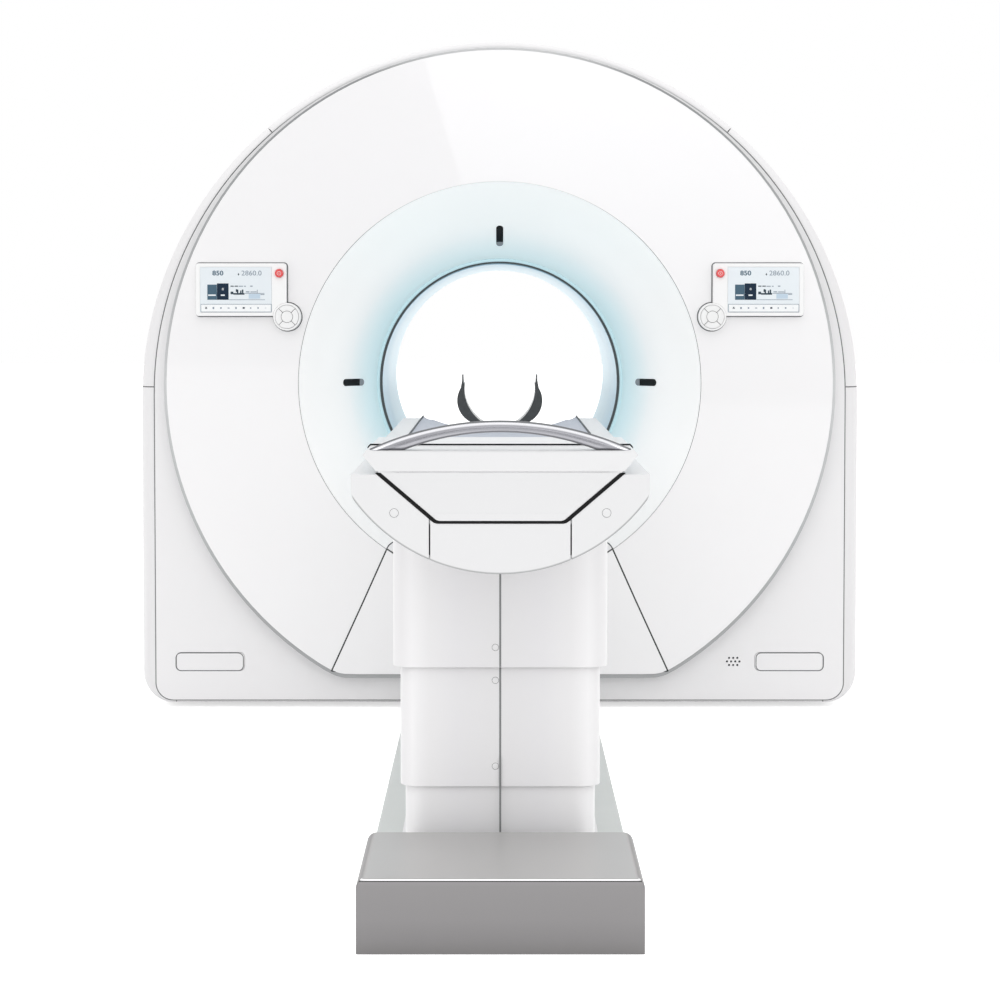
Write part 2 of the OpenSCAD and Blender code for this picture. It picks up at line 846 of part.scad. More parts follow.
module disc_plate() {
    slab(-disc_y, -disc_y + cover_wall) difference() {
        disc_outline(trim_w + seat_gap);
        translate([0, iso_z]) circle(funnel_r + seat_gap);
    }
}

module front_disc() {
    color("#f4f3f3") difference() {
        disc_plate();
        service_cut();
    }
}

module disc_trim() {
    color("#9fa3a6") {
        slab(-trim_y, -panel_y) difference() {
            disc_outline(0);
            disc_outline(trim_w);
        }
        slab(-disc_y + cover_wall + seat_gap, -disc_y + 2 * cover_wall) difference() {
            disc_outline(trim_w / 2);
            disc_outline(trim_w + ledge_w);
        }
    }
}

// A point on the funnel's front surface: 0 at the front cover, 1 at the light ring
function funnel_point(share) =
    let (run = [funnel_bore_r - funnel_r, funnel_depth],
        inward = unit([-run[1], run[0]]))
    [funnel_r, -disc_y] + run * share + inward * funnel_bulge * 4 * share * (1 - share);

funnel_front = [for (i = [0 : FUNNEL_STEPS]) funnel_point(i / FUNNEL_STEPS)];
funnel_back = [for (i = [FUNNEL_STEPS : -1 : 1]) funnel_front[i] + [0, funnel_wall_t]];
laser_share = (funnel_r - laser_r) / (funnel_r - funnel_bore_r);
laser_point = funnel_point(laser_share);
laser_run = funnel_point(laser_share + 0.01) - funnel_point(laser_share - 0.01);
laser_tilt = atan2(laser_run[1], -laser_run[0]);

// The funnel's wall with the flange that holds it behind the front cover
module funnel_wall() {
    around_bore() polygon(concat(funnel_front, funnel_back, [
        [funnel_r, -disc_y + 2 * cover_wall],
        [funnel_r + funnel_flange, -disc_y + 2 * cover_wall],
        [funnel_r + funnel_flange, -disc_y + cover_wall + seat_gap],
        [funnel_r, -disc_y + cover_wall + seat_gap],
    ]));
}

// Places a child drawn flat at each laser window, facing along the funnel's wall
module at_lasers() {
    for (turn = [0, 90, 180])
        translate([0, 0, iso_z]) rotate([0, -turn, 0])
            translate([laser_point[0], laser_point[1], 0]) rotate([0, 0, -laser_tilt])
                rotate([90, 0, 0]) children();
}

module laser_shape(grow) {
    union() {
        square([laser_len - laser_w, laser_w + 2 * grow], center = true);
        for (side = sides)
            translate([side * (laser_len - laser_w) / 2, 0]) circle(laser_w / 2 + grow);
    }
}

module laser_windows() {
    color("#15181a") at_lasers() translate([0, 0, laser_stand - laser_t]) linear_extrude(laser_t)
        laser_shape(0);
}

module front_funnel() {
    color("#eef1f2") difference() {
        funnel_wall();
        service_cut();
        at_lasers() translate([0, 0, -3 * laser_t]) linear_extrude(6 * laser_t)
            laser_shape(seat_gap);
    }
}

module lower_service_cover() {
    color("#f1f1f1") intersection() {
        slab(-FAR, -panel_y - BITE) service_outline(seam);
        union() {
            disc_plate();
            funnel_wall();
            tube_along_bore(funnel_r + BITE, funnel_r + funnel_flange, -disc_y + cover_wall - BITE,
                -disc_y + cover_wall + 2 * seat_gap);
        }
    }
}

module bore_ring() {
    color("#5b6468") tube_along_bore(bore_r, bore_ring_r, -mouth_y - bore_ring_stand, bore_ring_y);
}

module light_ring() {
    color("#bfe6ee") tube_along_bore(bore_ring_r + seat_gap, funnel_bore_r - seat_gap, -mouth_y,
        -mouth_y + light_ring_t);
}

module bore_liner() {
    color("#dfeef2") tube_along_bore(bore_r, liner_r, bore_ring_y + seat_gap, rear_mouth_y - seat_gap);
}

module rear_panel() {
    color("#f0f0f0") slab(panel_y - cover_wall, panel_y) difference() {
        panel_outline(0);
        translate([0, iso_z]) circle(funnel_r + seat_gap);
    }
}

module rear_funnel() {
    color("#eeeeee") around_bore() polygon([
        [bore_r, rear_mouth_y],
        [liner_r + cover_wall, rear_mouth_y],
        [funnel_r - 2 * cover_wall, panel_y - 2 * cover_wall],
        [funnel_r + funnel_flange, panel_y - 2 * cover_wall],
        [funnel_r + funnel_flange, panel_y - cover_wall - seat_gap],
        [funnel_r, panel_y - cover_wall - seat_gap],
        [funnel_r, panel_y],
        [bore_r + 2 * cover_wall, rear_mouth_y + 2 * cover_wall],
        [bore_r, rear_mouth_y + cover_wall],
    ]);
}

// ---- Gantry frame ----

module anchor_holes() {
    for (x = sides, y = sides)
        translate([x * anchor_x / 2, y * anchor_y / 2, -BITE]) cylinder(h = base_t + 2 * BITE, r = anchor_r);
}

module base_beam(y) {
    translate([0, y, base_t - BITE]) difference() {
        translate([-base_half_w, 0, 0]) cube([2 * base_half_w, beam_w, beam_h + BITE]);
        translate([-base_half_w - BITE, beam_wall, beam_wall])
            cube([2 * base_half_w + 2 * BITE, beam_w - 2 * beam_wall, beam_h + BITE - 2 * beam_wall]);
    }
}

module gantry_base_frame() {
    color("#4d5358") {
        difference() {
            translate([-base_half_w, -base_half_d, 0]) cube([2 * base_half_w, 2 * base_half_d, base_t]);
            anchor_holes();
        }
        for (y = [-base_half_d, stator_y, pet_y, pet_end_y, base_half_d - beam_w])
            base_beam(y);
    }
}

// The frame behind a panel's edge, clear of the swelling covers
module backing_outline() {
    difference() {
        panel_outline(seam - seat_gap);
        panel_outline(seam - seat_gap - backing_w);
    }
}

// Hoops just inside the covers, with stays that hold the backing of the front and rear panels
module cover_frame() {
    backing_y = panel_y - cover_wall - seat_gap;
    color("#6a7075") for (side = sides)
        scale([1, side, 1]) {
            slab(base_half_d, base_half_d + hoop_w) difference() {
                shell_outline(-cover_wall - HOOP_GAP);
                shell_outline(-cover_wall - HOOP_GAP - hoop_d);
            }
            slab(backing_y - cover_wall, backing_y) backing_outline();
            slab(base_half_d + hoop_w - BITE, backing_y - BITE) intersection() {
                backing_outline();
                union() for (angle = [10, 50, 90, 130, 170, 240, 300])
                    wedge(angle - stay_angle / 2, angle + stay_angle / 2);
            }
        }
}

// A standing plate with a round top that carries a ring on the base beams
module standing_plate(outer, inner, half_w, from_y, to_y) {
    slab(from_y, to_y) difference() {
        union() {
            translate([0, iso_z]) circle(outer);
            translate([-half_w, beam_top_z]) square([2 * half_w, iso_z - beam_top_z]);
        }
        translate([0, iso_z]) circle(inner);
    }
}

module ct_stator() {
    color("#585f64") difference() {
        standing_plate(drum_r - stator_rim, hub_outer_r + bearing_w, drum_r - stator_leg_inset,
            stator_y, stator_y + stator_t);
        for (turn = [30 : 60 : 330])
            translate([0, 0, iso_z]) rotate([0, turn, 0])
                slab(stator_y - BITE, stator_y + stator_t + BITE)
                    translate([(drum_r - stator_rim + hub_outer_r + bearing_w) / 2, 0])
                        circle(window_r);
    }
}

module main_bearing() {
    color("#a8abad") tube_along_bore(hub_outer_r + run_gap, hub_outer_r + bearing_w - seat_gap,
        bearing_y, bearing_y + bearing_len);
}

module drive_coils() {
    color("#8a6a4a") {
        tube_along_bore(drum_r + run_gap, drum_r + coil_w, coil_y, coil_y + coil_len);
        tube_along_bore(drum_r - coil_flange, drum_r + coil_w, coil_y + coil_len - BITE,
            stator_y - seat_gap);
    }
}

// ---- CT rotor ----

module rotor_drum() {
    color("#8f959a") {
        difference() {
            tube_along_bore(hub_r, drum_r, -drum_y, -drum_y + drum_t);
            for (turn = [22.5 : 45 : 360])
                translate([0, 0, iso_z]) rotate([0, turn, 0])
                    slab(-drum_y - BITE, -drum_y + drum_t + BITE)
                        translate([drum_r - drum_hole_edge, 0]) circle(drum_hole_r);
        }
        tube_along_bore(hub_r, hub_outer_r, -drum_y + drum_t - BITE, hub_end_y);
    }
}

// A box that stands on the drum's front face, at an angle about the bore axis
module drum_box(turn, r, half_w, half_d, length) {
    translate([0, 0, iso_z]) rotate([0, -turn, 0])
        slab(-drum_y - length, -drum_y) translate([r, 0]) rounded_box(half_d, half_w, box_corner_r);
}

module x_ray_tube() {
    color("#b9bdc0") {
        drum_box(90, detector_r + tube_r, tube_r + tube_foot_w, tube_r, tube_foot_t);
        translate([0, -drum_y - tube_foot_t + BITE, iso_z + detector_r + tube_r]) rotate([90, 0, 0])
            cylinder(h = rotor_stand - tube_foot_t, r = tube_r);
        drum_box(90, detector_r + BITE - shaper_half_d, shaper_half_w, shaper_half_d,
            rotor_stand - tube_foot_t);
    }
}

module detector_arc() {
    color("#3f464b") slab(-drum_y - rotor_stand, -drum_y) intersection() {
        translate([0, iso_z]) ring(detector_r, detector_r + detector_w);
        translate([0, iso_z]) rotate(-90 - detector_angle / 2)
            polygon([
                [0, 0],
                [FAR, 0],
                [2 * FAR * cos(detector_angle / 2), 2 * FAR * sin(detector_angle / 2)],
                [FAR * cos(detector_angle), FAR * sin(detector_angle)],
            ]);
    }
}

module high_voltage_box() {
    color("#9aa3a8") drum_box(box_angle, drum_r - box_setback, box_half_w, box_half_d, rotor_stand);
}

module balance_box() {
    color("#7d858a") drum_box(180 - box_angle, drum_r - box_setback, box_half_w, box_half_d, rotor_stand);
}

module slip_ring() {
    color("#b08d57") tube_along_bore(hub_outer_r + run_gap, hub_outer_r + slip_w, slip_y, hub_end_y);
}

// ---- PET ring ----

module pet_frame() {
    color("#666d72") {
        for (y = [pet_y, pet_end_y])
            difference() {
                standing_plate(pet_r, liner_r + seat_gap, pet_r - pet_leg_inset, y, y + pet_ring_t);
                for (turn = [15 : 30 : 345])
                    translate([0, 0, iso_z]) rotate([0, turn, 0])
                        slab(y - BITE, y + pet_ring_t + BITE)
                            translate([pet_r - pet_hole_edge, 0]) circle(pet_hole_r);
            }
        for (turn = [0 : 60 : 300])
            translate([0, 0, iso_z]) rotate([0, turn, 0])
                translate([pet_r - tie_edge, pet_y + pet_ring_t - BITE, 0]) rotate([-90, 0, 0])
                    cylinder(h = module_len + 2 * BITE, r = tie_r);
    }
}

module pet_modules() {
    half_w = module_r * tan(180 / module_count) - seat_gap;
    color("#2f3d52") for (i = [0 : module_count - 1])
        translate([0, 0, iso_z]) rotate([0, i * 360 / module_count, 0])
            translate([module_r, pet_y + pet_ring_t + seat_gap, -half_w])
                cube([module_d, module_len - 2 * seat_gap, 2 * half_w]);
}

// ---- Displays, keypads and stop buttons ----

module at_pod(side) {
    translate([side * (display_x - pod_shift), 0, display_z - pod_drop]) children();
}

module at_stop_button(side) {
    translate([side * (display_x - estop_shift), 0, display_z + estop_rise]) children();
}

module screen_place(side, grow) {
    translate([side * (display_x + screen_shift), display_z])
        square([screen_w + 2 * grow, screen_h + 2 * grow], center = true);
}

module display_housings() {
    color("#f4f4f4") for (side = sides)
        difference() {
            slab(-display_face_y, -disc_y) translate([side * display_x, display_z])
                rounded_box(display_w / 2, display_h / 2, display_corner_r);
            slab(-display_face_y - BITE, -display_face_y + screen_t + seat_gap)
                screen_place(side, seat_gap);
            at_pod(side) slab(-FAR, FAR) circle(pod_r + seat_gap);
            at_stop_button(side) {
                slab(-display_face_y - BITE, -display_face_y + estop_well_d) circle(estop_r + key_gap);
                slab(-display_face_y, -display_face_y + estop_well_d + estop_stem_l + estop_travel + 1)
                    circle(estop_stem_r + seat_gap);
            }
        }
}

module display_screens() {
    color("#dfe8ee") for (side = sides)
        slab(-display_face_y, -display_face_y + screen_t) screen_place(side, 0);
}

module keypad_pods() {
    color("#f2f2f2") for (side = sides)
        at_pod(side) difference() {
            slab(-pod_face_y, -disc_y) circle(pod_r);
            slab(-pod_face_y - BITE, -pod_face_y + key_t - key_stand + key_travel + 1)
                circle(pod_recess_r);
        }
}

module stop_button(side) {
    color("#e8484a") at_stop_button(side) {
        slab(-display_face_y - estop_stand, -display_face_y - estop_lift) circle(estop_r);
        slab(-display_face_y - estop_lift - BITE, -display_face_y + estop_well_d + estop_stem_l)
            circle(estop_stem_r);
    }
}

module centre_key(side) {
    color("#f6f6f6") at_pod(side)
        slab(-pod_face_y - key_stand, -pod_face_y + key_t - key_stand) circle(centre_key_r);
}

// A quarter of the ring of keys, centred on an angle
module sector_key(side, angle) {
    reach = pod_recess_r * 2;
    color("#f0f0f0") at_pod(side)
        slab(-pod_face_y - key_stand, -pod_face_y + key_t - key_stand) intersection() {
            ring(centre_key_r + key_gap, pod_recess_r - key_gap);
            rotate(angle) translate([key_gap * sqrt(2), 0])
                polygon([[0, 0], [reach, -reach], [reach, reach]]);
        }
}

// ---- Couch base and column ----

module front_base_cover() {
    color("#a3a2a1") difference() {
        slab(-couch_front_y, base_cover_d - couch_front_y) rounded_polygon(
            [[-couch_half_w, 0], [couch_half_w, 0],
                [couch_half_w, base_cover_h], [-couch_half_w, base_cover_h]],
            [0, 0, base_cover_r, base_cover_r]);
        slab(base_cover_wall - couch_front_y, base_cover_d - couch_front_y - base_cover_wall)
            rounded_polygon(
                [[base_cover_wall - couch_half_w, -BITE], [couch_half_w - base_cover_wall, -BITE],
                    [couch_half_w - base_cover_wall, base_cover_h - base_cover_wall],
                    [base_cover_wall - couch_half_w, base_cover_h - base_cover_wall]],
                [0, 0, base_cover_r - base_cover_wall, base_cover_r - base_cover_wall]);
    }
}

module floor_plate() {
    color("#c5cbc9")
        slab(base_cover_d - couch_front_y + seat_gap, -panel_y - seat_gap) difference() {
            rounded_polygon(
                [[-couch_half_w, 0], [couch_half_w, 0],
                    [couch_half_w, floor_plate_h], [-couch_half_w, floor_plate_h]],
                [0, 0, floor_plate_r, floor_plate_r]);
            translate([floor_plate_wall - couch_half_w, floor_plate_wall])
                square([2 * (couch_half_w - floor_plate_wall), floor_plate_h - 2 * floor_plate_wall]);
        }
}

// The plan of a column cover, inset from the upper one
module column_plan(half_w, inset) {
    step = upper_half_w - half_w;
    rounded_box(half_w - inset, upper_half_l - step - inset, column_corner_r - inset);
}

// A column cover: a round-cornered tube with a shallow seam down the middle of its front
module column_cover(half_w, foot_z, top_z) {
    front_y = upper_half_l - (upper_half_w - half_w);
    translate([0, -column_y, foot_z]) linear_extrude(top_z - foot_z) difference() {
        column_plan(half_w, 0);
        column_plan(half_w, column_wall);
        translate([0, -front_y]) square([2 * column_seam_d, 2 * column_seam_d], center = true);
    }
}

module lower_column_cover() {
    color("#eeeeee") {
        column_cover(lower_half_w, collar_top_z - BITE, lower_top_z);
        translate([0, -column_y, floor_plate_h]) linear_extrude(collar_top_z - floor_plate_h)
            difference() {
                column_plan(collar_half_w, 0);
                column_plan(lower_half_w, column_wall);
            }
    }
}

module middle_column_cover() {
    color("#efefef")
        column_cover(middle_half_w, middle_foot_z, lift_middle_top_z - carrier_t);
}

module upper_column_cover() {
    top_z = belly_z + belly_r - sqrt(pow(belly_r, 2) - pow(upper_half_w, 2)) + BITE;
    color("#f0f0f0") difference() {
        column_cover(upper_half_w, upper_foot_z, top_z);
        slab(-FAR * 2, 0) translate([0, belly_z + belly_r]) circle(belly_r + seat_gap);
    }
}

module lift_tube(half_w, foot_z, top_z) {
    translate([0, -column_y, foot_z]) linear_extrude(top_z - foot_z) difference() {
        rounded_box(half_w, half_w, lift_corner_r);
        rounded_box(half_w - lift_wall, half_w - lift_wall, lift_corner_r - lift_wall / 2);
    }
}

module lift_outer_tube() {
    color("#7c8489") lift_tube(lift_half_w, floor_plate_h, lift_outer_top_z);
}

// The middle tube with the nut plate at its foot and the carrier plate for the middle cover
module lift_middle_tube() {
    color("#8c9499") {
        lift_tube(lift_middle_half_w, lift_middle_foot_z, lift_middle_top_z);
        translate([0, -column_y, lift_middle_top_z - carrier_t]) linear_extrude(carrier_t)
            difference() {
                column_plan(middle_half_w, 0);
                rounded_box(lift_middle_half_w - lift_wall, lift_middle_half_w - lift_wall,
                    lift_corner_r - lift_wall / 2);
            }
        translate([0, -column_y, lift_middle_foot_z]) linear_extrude(lift_wall) difference() {
            rounded_box(lift_middle_half_w - BITE, lift_middle_half_w - BITE, lift_corner_r);
            circle(screw_r + lift_gap);
        }
    }
}

module lift_screw() {
    color("#c9ccce") translate([0, -column_y, floor_plate_h])
        cylinder(h = lift_outer_top_z - floor_plate_h, r = screw_r);
}

// ---- Couch beam ----

module belly_outline(inset) {
    intersection() {
        translate([0, belly_z + belly_r]) circle(belly_r - inset);
        translate([inset - beam_half_w, belly_z - BITE])
            square([2 * (beam_half_w - inset), deck_z - inset - belly_z + BITE]);
    }
}

// The trough's section above a lowered floor, widened or narrowed square to its slanted sides
module trough_outline(grow, top_z) {
    side_grow = grow * norm([1, trough_slope]) + grow * -trough_slope;
    floor_half_w = trough_floor_half_w + side_grow;
    top_half_w = floor_half_w + trough_slope * (top_z - trough_z + grow);
    rounded_polygon(
        [[-floor_half_w, trough_z - grow], [floor_half_w, trough_z - grow],
            [top_half_w, top_z], [-top_half_w, top_z]],
        [trough_corner_r, trough_corner_r, 0, 0]);
}

module couch_beam() {
    front_y = -beam_front_y + beam_end_t + seat_gap;
    color("#ececec") {
        difference() {
            slab(front_y, -beam_end_y) difference() {
                belly_outline(0);
                trough_outline(0, deck_z + BITE);
            }
            slab(front_y - BITE, -beam_end_y - beam_end_t) difference() {
                belly_outline(beam_skin);
                trough_outline(beam_skin, deck_z + BITE);
            }
            translate([0, -column_y, belly_z - BITE]) linear_extrude(trough_ceiling_z - belly_z)
                column_plan(upper_half_w, column_wall + beam_seat_w);
        }
        lift_tube(lift_inner_half_w, lift_inner_foot_z, trough_ceiling_z + BITE);
    }
}

module beam_front_cover() {
    color("#eeeeee") slab(-beam_front_y, -beam_front_y + beam_end_t) difference() {
        belly_outline(0);
        trough_outline(0, deck_z + BITE);
        for (side = sides)
            translate([side * cheek_split_x - seam / 2, 0]) square([seam, FAR]);
    }
}

module pallet_rails() {
    color("#b4b8bb") {
        for (side = sides)
            slab(-beam_front_y + rail_setback, -carriage_end_y + pallet_travel + rail_run_out)
                translate([side * rail_span / 2 - rail_w / 2, trough_z]) square([rail_w, rail_h]);
        slab(-pallet_tip_y - glide_l, -pallet_tip_y) translate([-glide_half_w, trough_z])
            square([2 * glide_half_w, pad_z - pad_t - pallet_t - trough_z - seat_gap]);
    }
}

// ---- Pallet ----

module rail_channels(grow) {
    for (side = sides)
        translate([side * rail_span / 2 - rail_w / 2 - grow, 0])
            square([rail_w + 2 * grow, trough_z + rail_h + seat_gap]);
}

module carriage_outline(inset) {
    half_w = trough_floor_half_w + trough_slope * (crease_z - trough_z) - trough_gap;
    union() {
        trough_outline(-trough_gap - inset, crease_z + BITE);
        polygon([
            [inset - half_w, crease_z],
            [half_w - inset, crease_z],
            [wing_half_w - inset * 2, wing_z],
            [carriage_top_half_w - inset * 2, carriage_top_z - inset],
            [inset * 2 - carriage_top_half_w, carriage_top_z - inset],
            [inset * 2 - wing_half_w, wing_z],
        ]);
    }
}

// The carriage at the pallet's foot, hollow behind its front, and the long hollowed board
module pallet() {
    color("#f0f0f0") {
        difference() {
            slab(-beam_front_y, -carriage_end_y) difference() {
                carriage_outline(0);
                rail_channels(rail_side_gap);
            }
            slab(-beam_front_y + carriage_wall, -carriage_end_y - carriage_wall) difference() {
                carriage_outline(carriage_wall);
                rail_channels(rail_side_gap + carriage_wall);
                translate([-FAR, 0]) square([2 * FAR, trough_z + rail_h + carriage_wall]);
            }
            slab(-beam_front_y + cross_gap_y, -beam_front_y + cross_gap_y + cross_gap_w)
                translate([-FAR, carriage_top_z - carriage_wall / 2]) square([2 * FAR, FAR]);
        }
        slab(-carriage_end_y - BITE, -pallet_tip_y) difference() {
            trough_outline(-trough_gap, deck_z);
            translate([0, pad_axis_z]) circle(pad_r + pad_t);
            translate([-FAR, 0]) square([2 * FAR, pad_z - pad_t - pallet_t]);
        }
    }
}

module pallet_pad() {
    color("#b4bac6") slab(-carriage_end_y + seat_gap, -pad_tip_y) intersection() {
        translate([0, pad_axis_z]) ring(pad_r, pad_r + pad_t - seat_gap);
        translate([-pad_half_w, 0]) square([2 * pad_half_w, pad_axis_z]);
        trough_outline(-trough_gap, pad_axis_z);
    }
}

module grab_handle() {
    color("#9a9a9f")
        slab(-beam_front_y + handle_setback, -beam_front_y + handle_setback + handle_d)
            difference() {
                translate([0, handle_top_z - handle_outer_r]) circle(handle_outer_r, $fn = ARC_SIDES);
                translate([0, handle_under_z - handle_inner_r]) circle(handle_inner_r, $fn = ARC_SIDES);
                translate([-FAR, carriage_top_z - FAR]) square([2 * FAR, FAR]);
            }
}

// A horn's round back and its tip, on the side where X is positive
module horn_back() {
    translate([HORN_POINTS[1][0] - horn_back_r, holder_z + HORN_POINTS[1][1]]) circle(horn_back_r);
    polygon([for (p = HORN_POINTS) [p[0], holder_z + p[1]]]);
}

module head_holder() {
    color("#2f3536") slab(-pallet_tip_y - holder_l, -pallet_tip_y) difference() {
        union() {
            for (side = sides)
                scale([side, 1]) horn_back();
            translate([-holder_foot_half_w, pad_z - pad_t])
                square([2 * holder_foot_half_w, holder_foot_h]);
        }
        intersection_for (side = sides)
            translate([side * HOLLOW_SHIFT, holder_z]) circle(holder_r);
        translate([0, pad_axis_z]) ring(pad_r + pad_t - seat_gap, FAR);
    }
}

gantry_base_frame();
cover_frame();
ct_stator();
main_bearing();
drive_coils();
rotor_drum();
x_ray_tube();
detector_arc();
high_voltage_box();
balance_box();
slip_ring();
pet_frame();
pet_modules();
front_panel();
front_disc();
disc_trim();
front_funnel();
lower_service_cover();
bore_ring();
light_ring();
bore_liner();
laser_windows();
access_plugs();
speaker();
top_cover();
upper_side_covers();
lower_side_covers();
bottom_skirt();
rear_panel();
rear_funnel();
display_housings();
display_screens();
keypad_pods();
stop_button(-1);  // left_stop_button
stop_button(1);  // right_stop_button
sector_key(-1, 90);  // left_up_key
sector_key(-1, 270);  // left_down_key
sector_key(-1, 0);  // left_in_key
sector_key(-1, 180);  // left_out_key
centre_key(-1);  // left_centre_key
sector_key(1, 90);  // right_up_key
sector_key(1, 270);  // right_down_key
sector_key(1, 180);  // right_in_key
sector_key(1, 0);  // right_out_key
centre_key(1);  // right_centre_key
front_base_cover();
floor_plate();
lower_column_cover();
lift_outer_tube();
lift_screw();
middle_column_cover();
lift_middle_tube();
upper_column_cover();
couch_beam();
beam_front_cover();
pallet_rails();
pallet();
pallet_pad();
grab_handle();
head_holder();
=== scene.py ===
import json
import math

import bmesh
import bpy
from mathutils import Matrix, Vector


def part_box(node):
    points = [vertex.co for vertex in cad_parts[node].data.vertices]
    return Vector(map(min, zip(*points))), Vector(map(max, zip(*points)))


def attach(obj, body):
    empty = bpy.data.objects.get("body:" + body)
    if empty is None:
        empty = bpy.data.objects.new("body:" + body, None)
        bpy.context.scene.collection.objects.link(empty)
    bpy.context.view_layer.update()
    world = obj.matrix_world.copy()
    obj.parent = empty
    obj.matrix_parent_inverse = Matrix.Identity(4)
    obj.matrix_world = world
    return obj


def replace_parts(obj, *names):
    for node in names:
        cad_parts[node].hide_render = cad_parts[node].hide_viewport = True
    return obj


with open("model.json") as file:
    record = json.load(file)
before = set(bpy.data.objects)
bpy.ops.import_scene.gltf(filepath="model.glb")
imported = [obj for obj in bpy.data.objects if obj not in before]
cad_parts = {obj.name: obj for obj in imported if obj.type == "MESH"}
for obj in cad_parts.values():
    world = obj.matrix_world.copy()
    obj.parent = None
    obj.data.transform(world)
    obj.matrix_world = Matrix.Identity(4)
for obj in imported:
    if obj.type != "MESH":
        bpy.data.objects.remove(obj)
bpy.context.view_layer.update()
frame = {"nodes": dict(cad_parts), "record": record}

body_of = {n: body for body, names in frame["record"]["behaviour"]["bodies"].items() for n in names}


# ---- Side and top covers ----
# Vacuum-formed sandwich shells in white two-part paint, bolted to the hoops behind them. They swell
# from the flat panels to full width, and a 3 mm seam parts each from the next.

def linear(hex_colour):
    """An sRGB hex colour as linear red, green, blue and alpha."""
    parts = [int(hex_colour[i:i + 2], 16) / 255 for i in (0, 2, 4)]
    return [c / 12.92 if c <= 0.04045 else ((c + 0.055) / 1.055) ** 2.4 for c in parts] + [1.0]


def add_node(tree, kind, values=(), links=(), **settings):
    """Adds a node to a material with its settings, socket values and incoming links."""
    node = tree.nodes.new(kind)
    for key, value in settings.items():
        setattr(node, key, value)
    for key, value in dict(values).items():
        node.inputs[key].default_value = value
    for key, source in dict(links).items():
        tree.links.new(source, node.inputs[key])
    return node


def finish(name, colour, other, mottle, rough, spread, grain, depth, stretch=(1, 1, 1), **sockets):
    """A surface whose colour wanders between two shades over mottle mm, whose roughness wanders
    with it, and whose grain is that many mm across and depth mm deep. sockets are the shader's own."""
    material = bpy.data.materials.new(name)
    material.use_nodes = True
    tree = material.node_tree
    shader = tree.nodes["Principled BSDF"]
    for key, value in sockets.items():
        shader.inputs[key.replace("_", " ")].default_value = value
    place = add_node(tree, "ShaderNodeTexCoord").outputs["Object"]
    place = add_node(tree, "ShaderNodeMapping", {"Scale": stretch}, {"Vector": place}).outputs[0]
    patches = add_node(tree, "ShaderNodeTexNoise", {"Scale": 1000 / mottle, "Detail": 3.0},
                       {"Vector": place}).outputs["Fac"]
    shade = add_node(tree, "ShaderNodeMix", {6: linear(colour), 7: linear(other)}, {0: patches},
                     data_type="RGBA")
    tree.links.new(shade.outputs[2], shader.inputs["Base Color"])
    gloss = add_node(tree, "ShaderNodeMapRange", {"To Min": rough - spread, "To Max": rough + spread},
                     {"Value": patches})
    tree.links.new(gloss.outputs[0], shader.inputs["Roughness"])
    fine = add_node(tree, "ShaderNodeTexNoise", {"Scale": 1000 / grain, "Detail": 2.0},
                    {"Vector": place}).outputs["Fac"]
    bump = add_node(tree, "ShaderNodeBump", {"Distance": depth / 1000, "Strength": 1.0},
                    {"Height": fine})
    tree.links.new(bump.outputs[0], shader.inputs["Normal"])
    return material


def tint(material, colour, share):
    """Mixes a colour over a finish, by a share from 0 to 1 that some nodes work out."""
    tree = material.node_tree
    base = tree.nodes["Principled BSDF"].inputs["Base Color"]
    under = base.links[0].from_socket
    over = add_node(tree, "ShaderNodeMix", {7: linear(colour)}, {0: share, 6: under}, data_type="RGBA")
    tree.links.new(over.outputs[2], base)


def along(tree, axis):
    """The object coordinate along one axis, in metres."""
    place = add_node(tree, "ShaderNodeTexCoord").outputs["Object"]
    return add_node(tree, "ShaderNodeSeparateXYZ", (), {0: place}).outputs[axis]


def eased(tree, value, start, end, at_start=0.0, at_end=1.0):
    """A value that eases from one to another while a second one runs from start to end."""
    return add_node(tree, "ShaderNodeMapRange", {"From Min": start, "From Max": end,
                                                 "To Min": at_start, "To Max": at_end},
                    {"Value": value}, interpolation_type="SMOOTHSTEP").outputs[0]


def ramp_along(tree, axis, start, end, at_start, at_end):
    """A value that eases from one to another between two places along an axis."""
    return eased(tree, along(tree, axis), start, end, at_start, at_end)


def graded(material, axis, reach, stops, share=0.9):
    """Mixes a run of colours over a finish, set out from the middle plane to reach along an axis."""
    tree = material.node_tree
    off = add_node(tree, "ShaderNodeMath", (), {0: along(tree, axis)}, operation="ABSOLUTE")
    off = add_node(tree, "ShaderNodeMath", {1: reach}, {0: off.outputs[0]}, operation="DIVIDE")
    run = add_node(tree, "ShaderNodeValToRGB", (), {0: off.outputs[0]})
    for place, colour in stops[1:-1]:
        run.color_ramp.elements.new(place).color = linear(colour)
    run.color_ramp.elements[0].color = linear(stops[0][1])
    run.color_ramp.elements[-1].color = linear(stops[-1][1])
    base = tree.nodes["Principled BSDF"].inputs["Base Color"]
    under = base.links[0].from_socket
    mixed = add_node(tree, "ShaderNodeMix", {0: share}, {6: under, 7: run.outputs[0]}, data_type="RGBA")
    tree.links.new(mixed.outputs[2], base)


def shade(obj, material, crease=38):
    """Gives a piece its material and smooth faces, sharp where they meet past the crease angle."""
    obj.data.materials.clear()
    obj.data.materials.append(material)
    obj.data.shade_smooth()
    obj.data.set_sharp_from_angle(angle=math.radians(crease))
    return obj


def new_piece(name, bm, body, material, crease=38):
    """Turns a bmesh into a piece that rides on a body."""
    mesh = bpy.data.meshes.new(name)
    bm.to_mesh(mesh)
    bm.free()
    obj = bpy.data.objects.new(name, mesh)
    bpy.context.scene.collection.objects.link(obj)
    shade(obj, material, crease)
    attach(obj, body)
    return obj


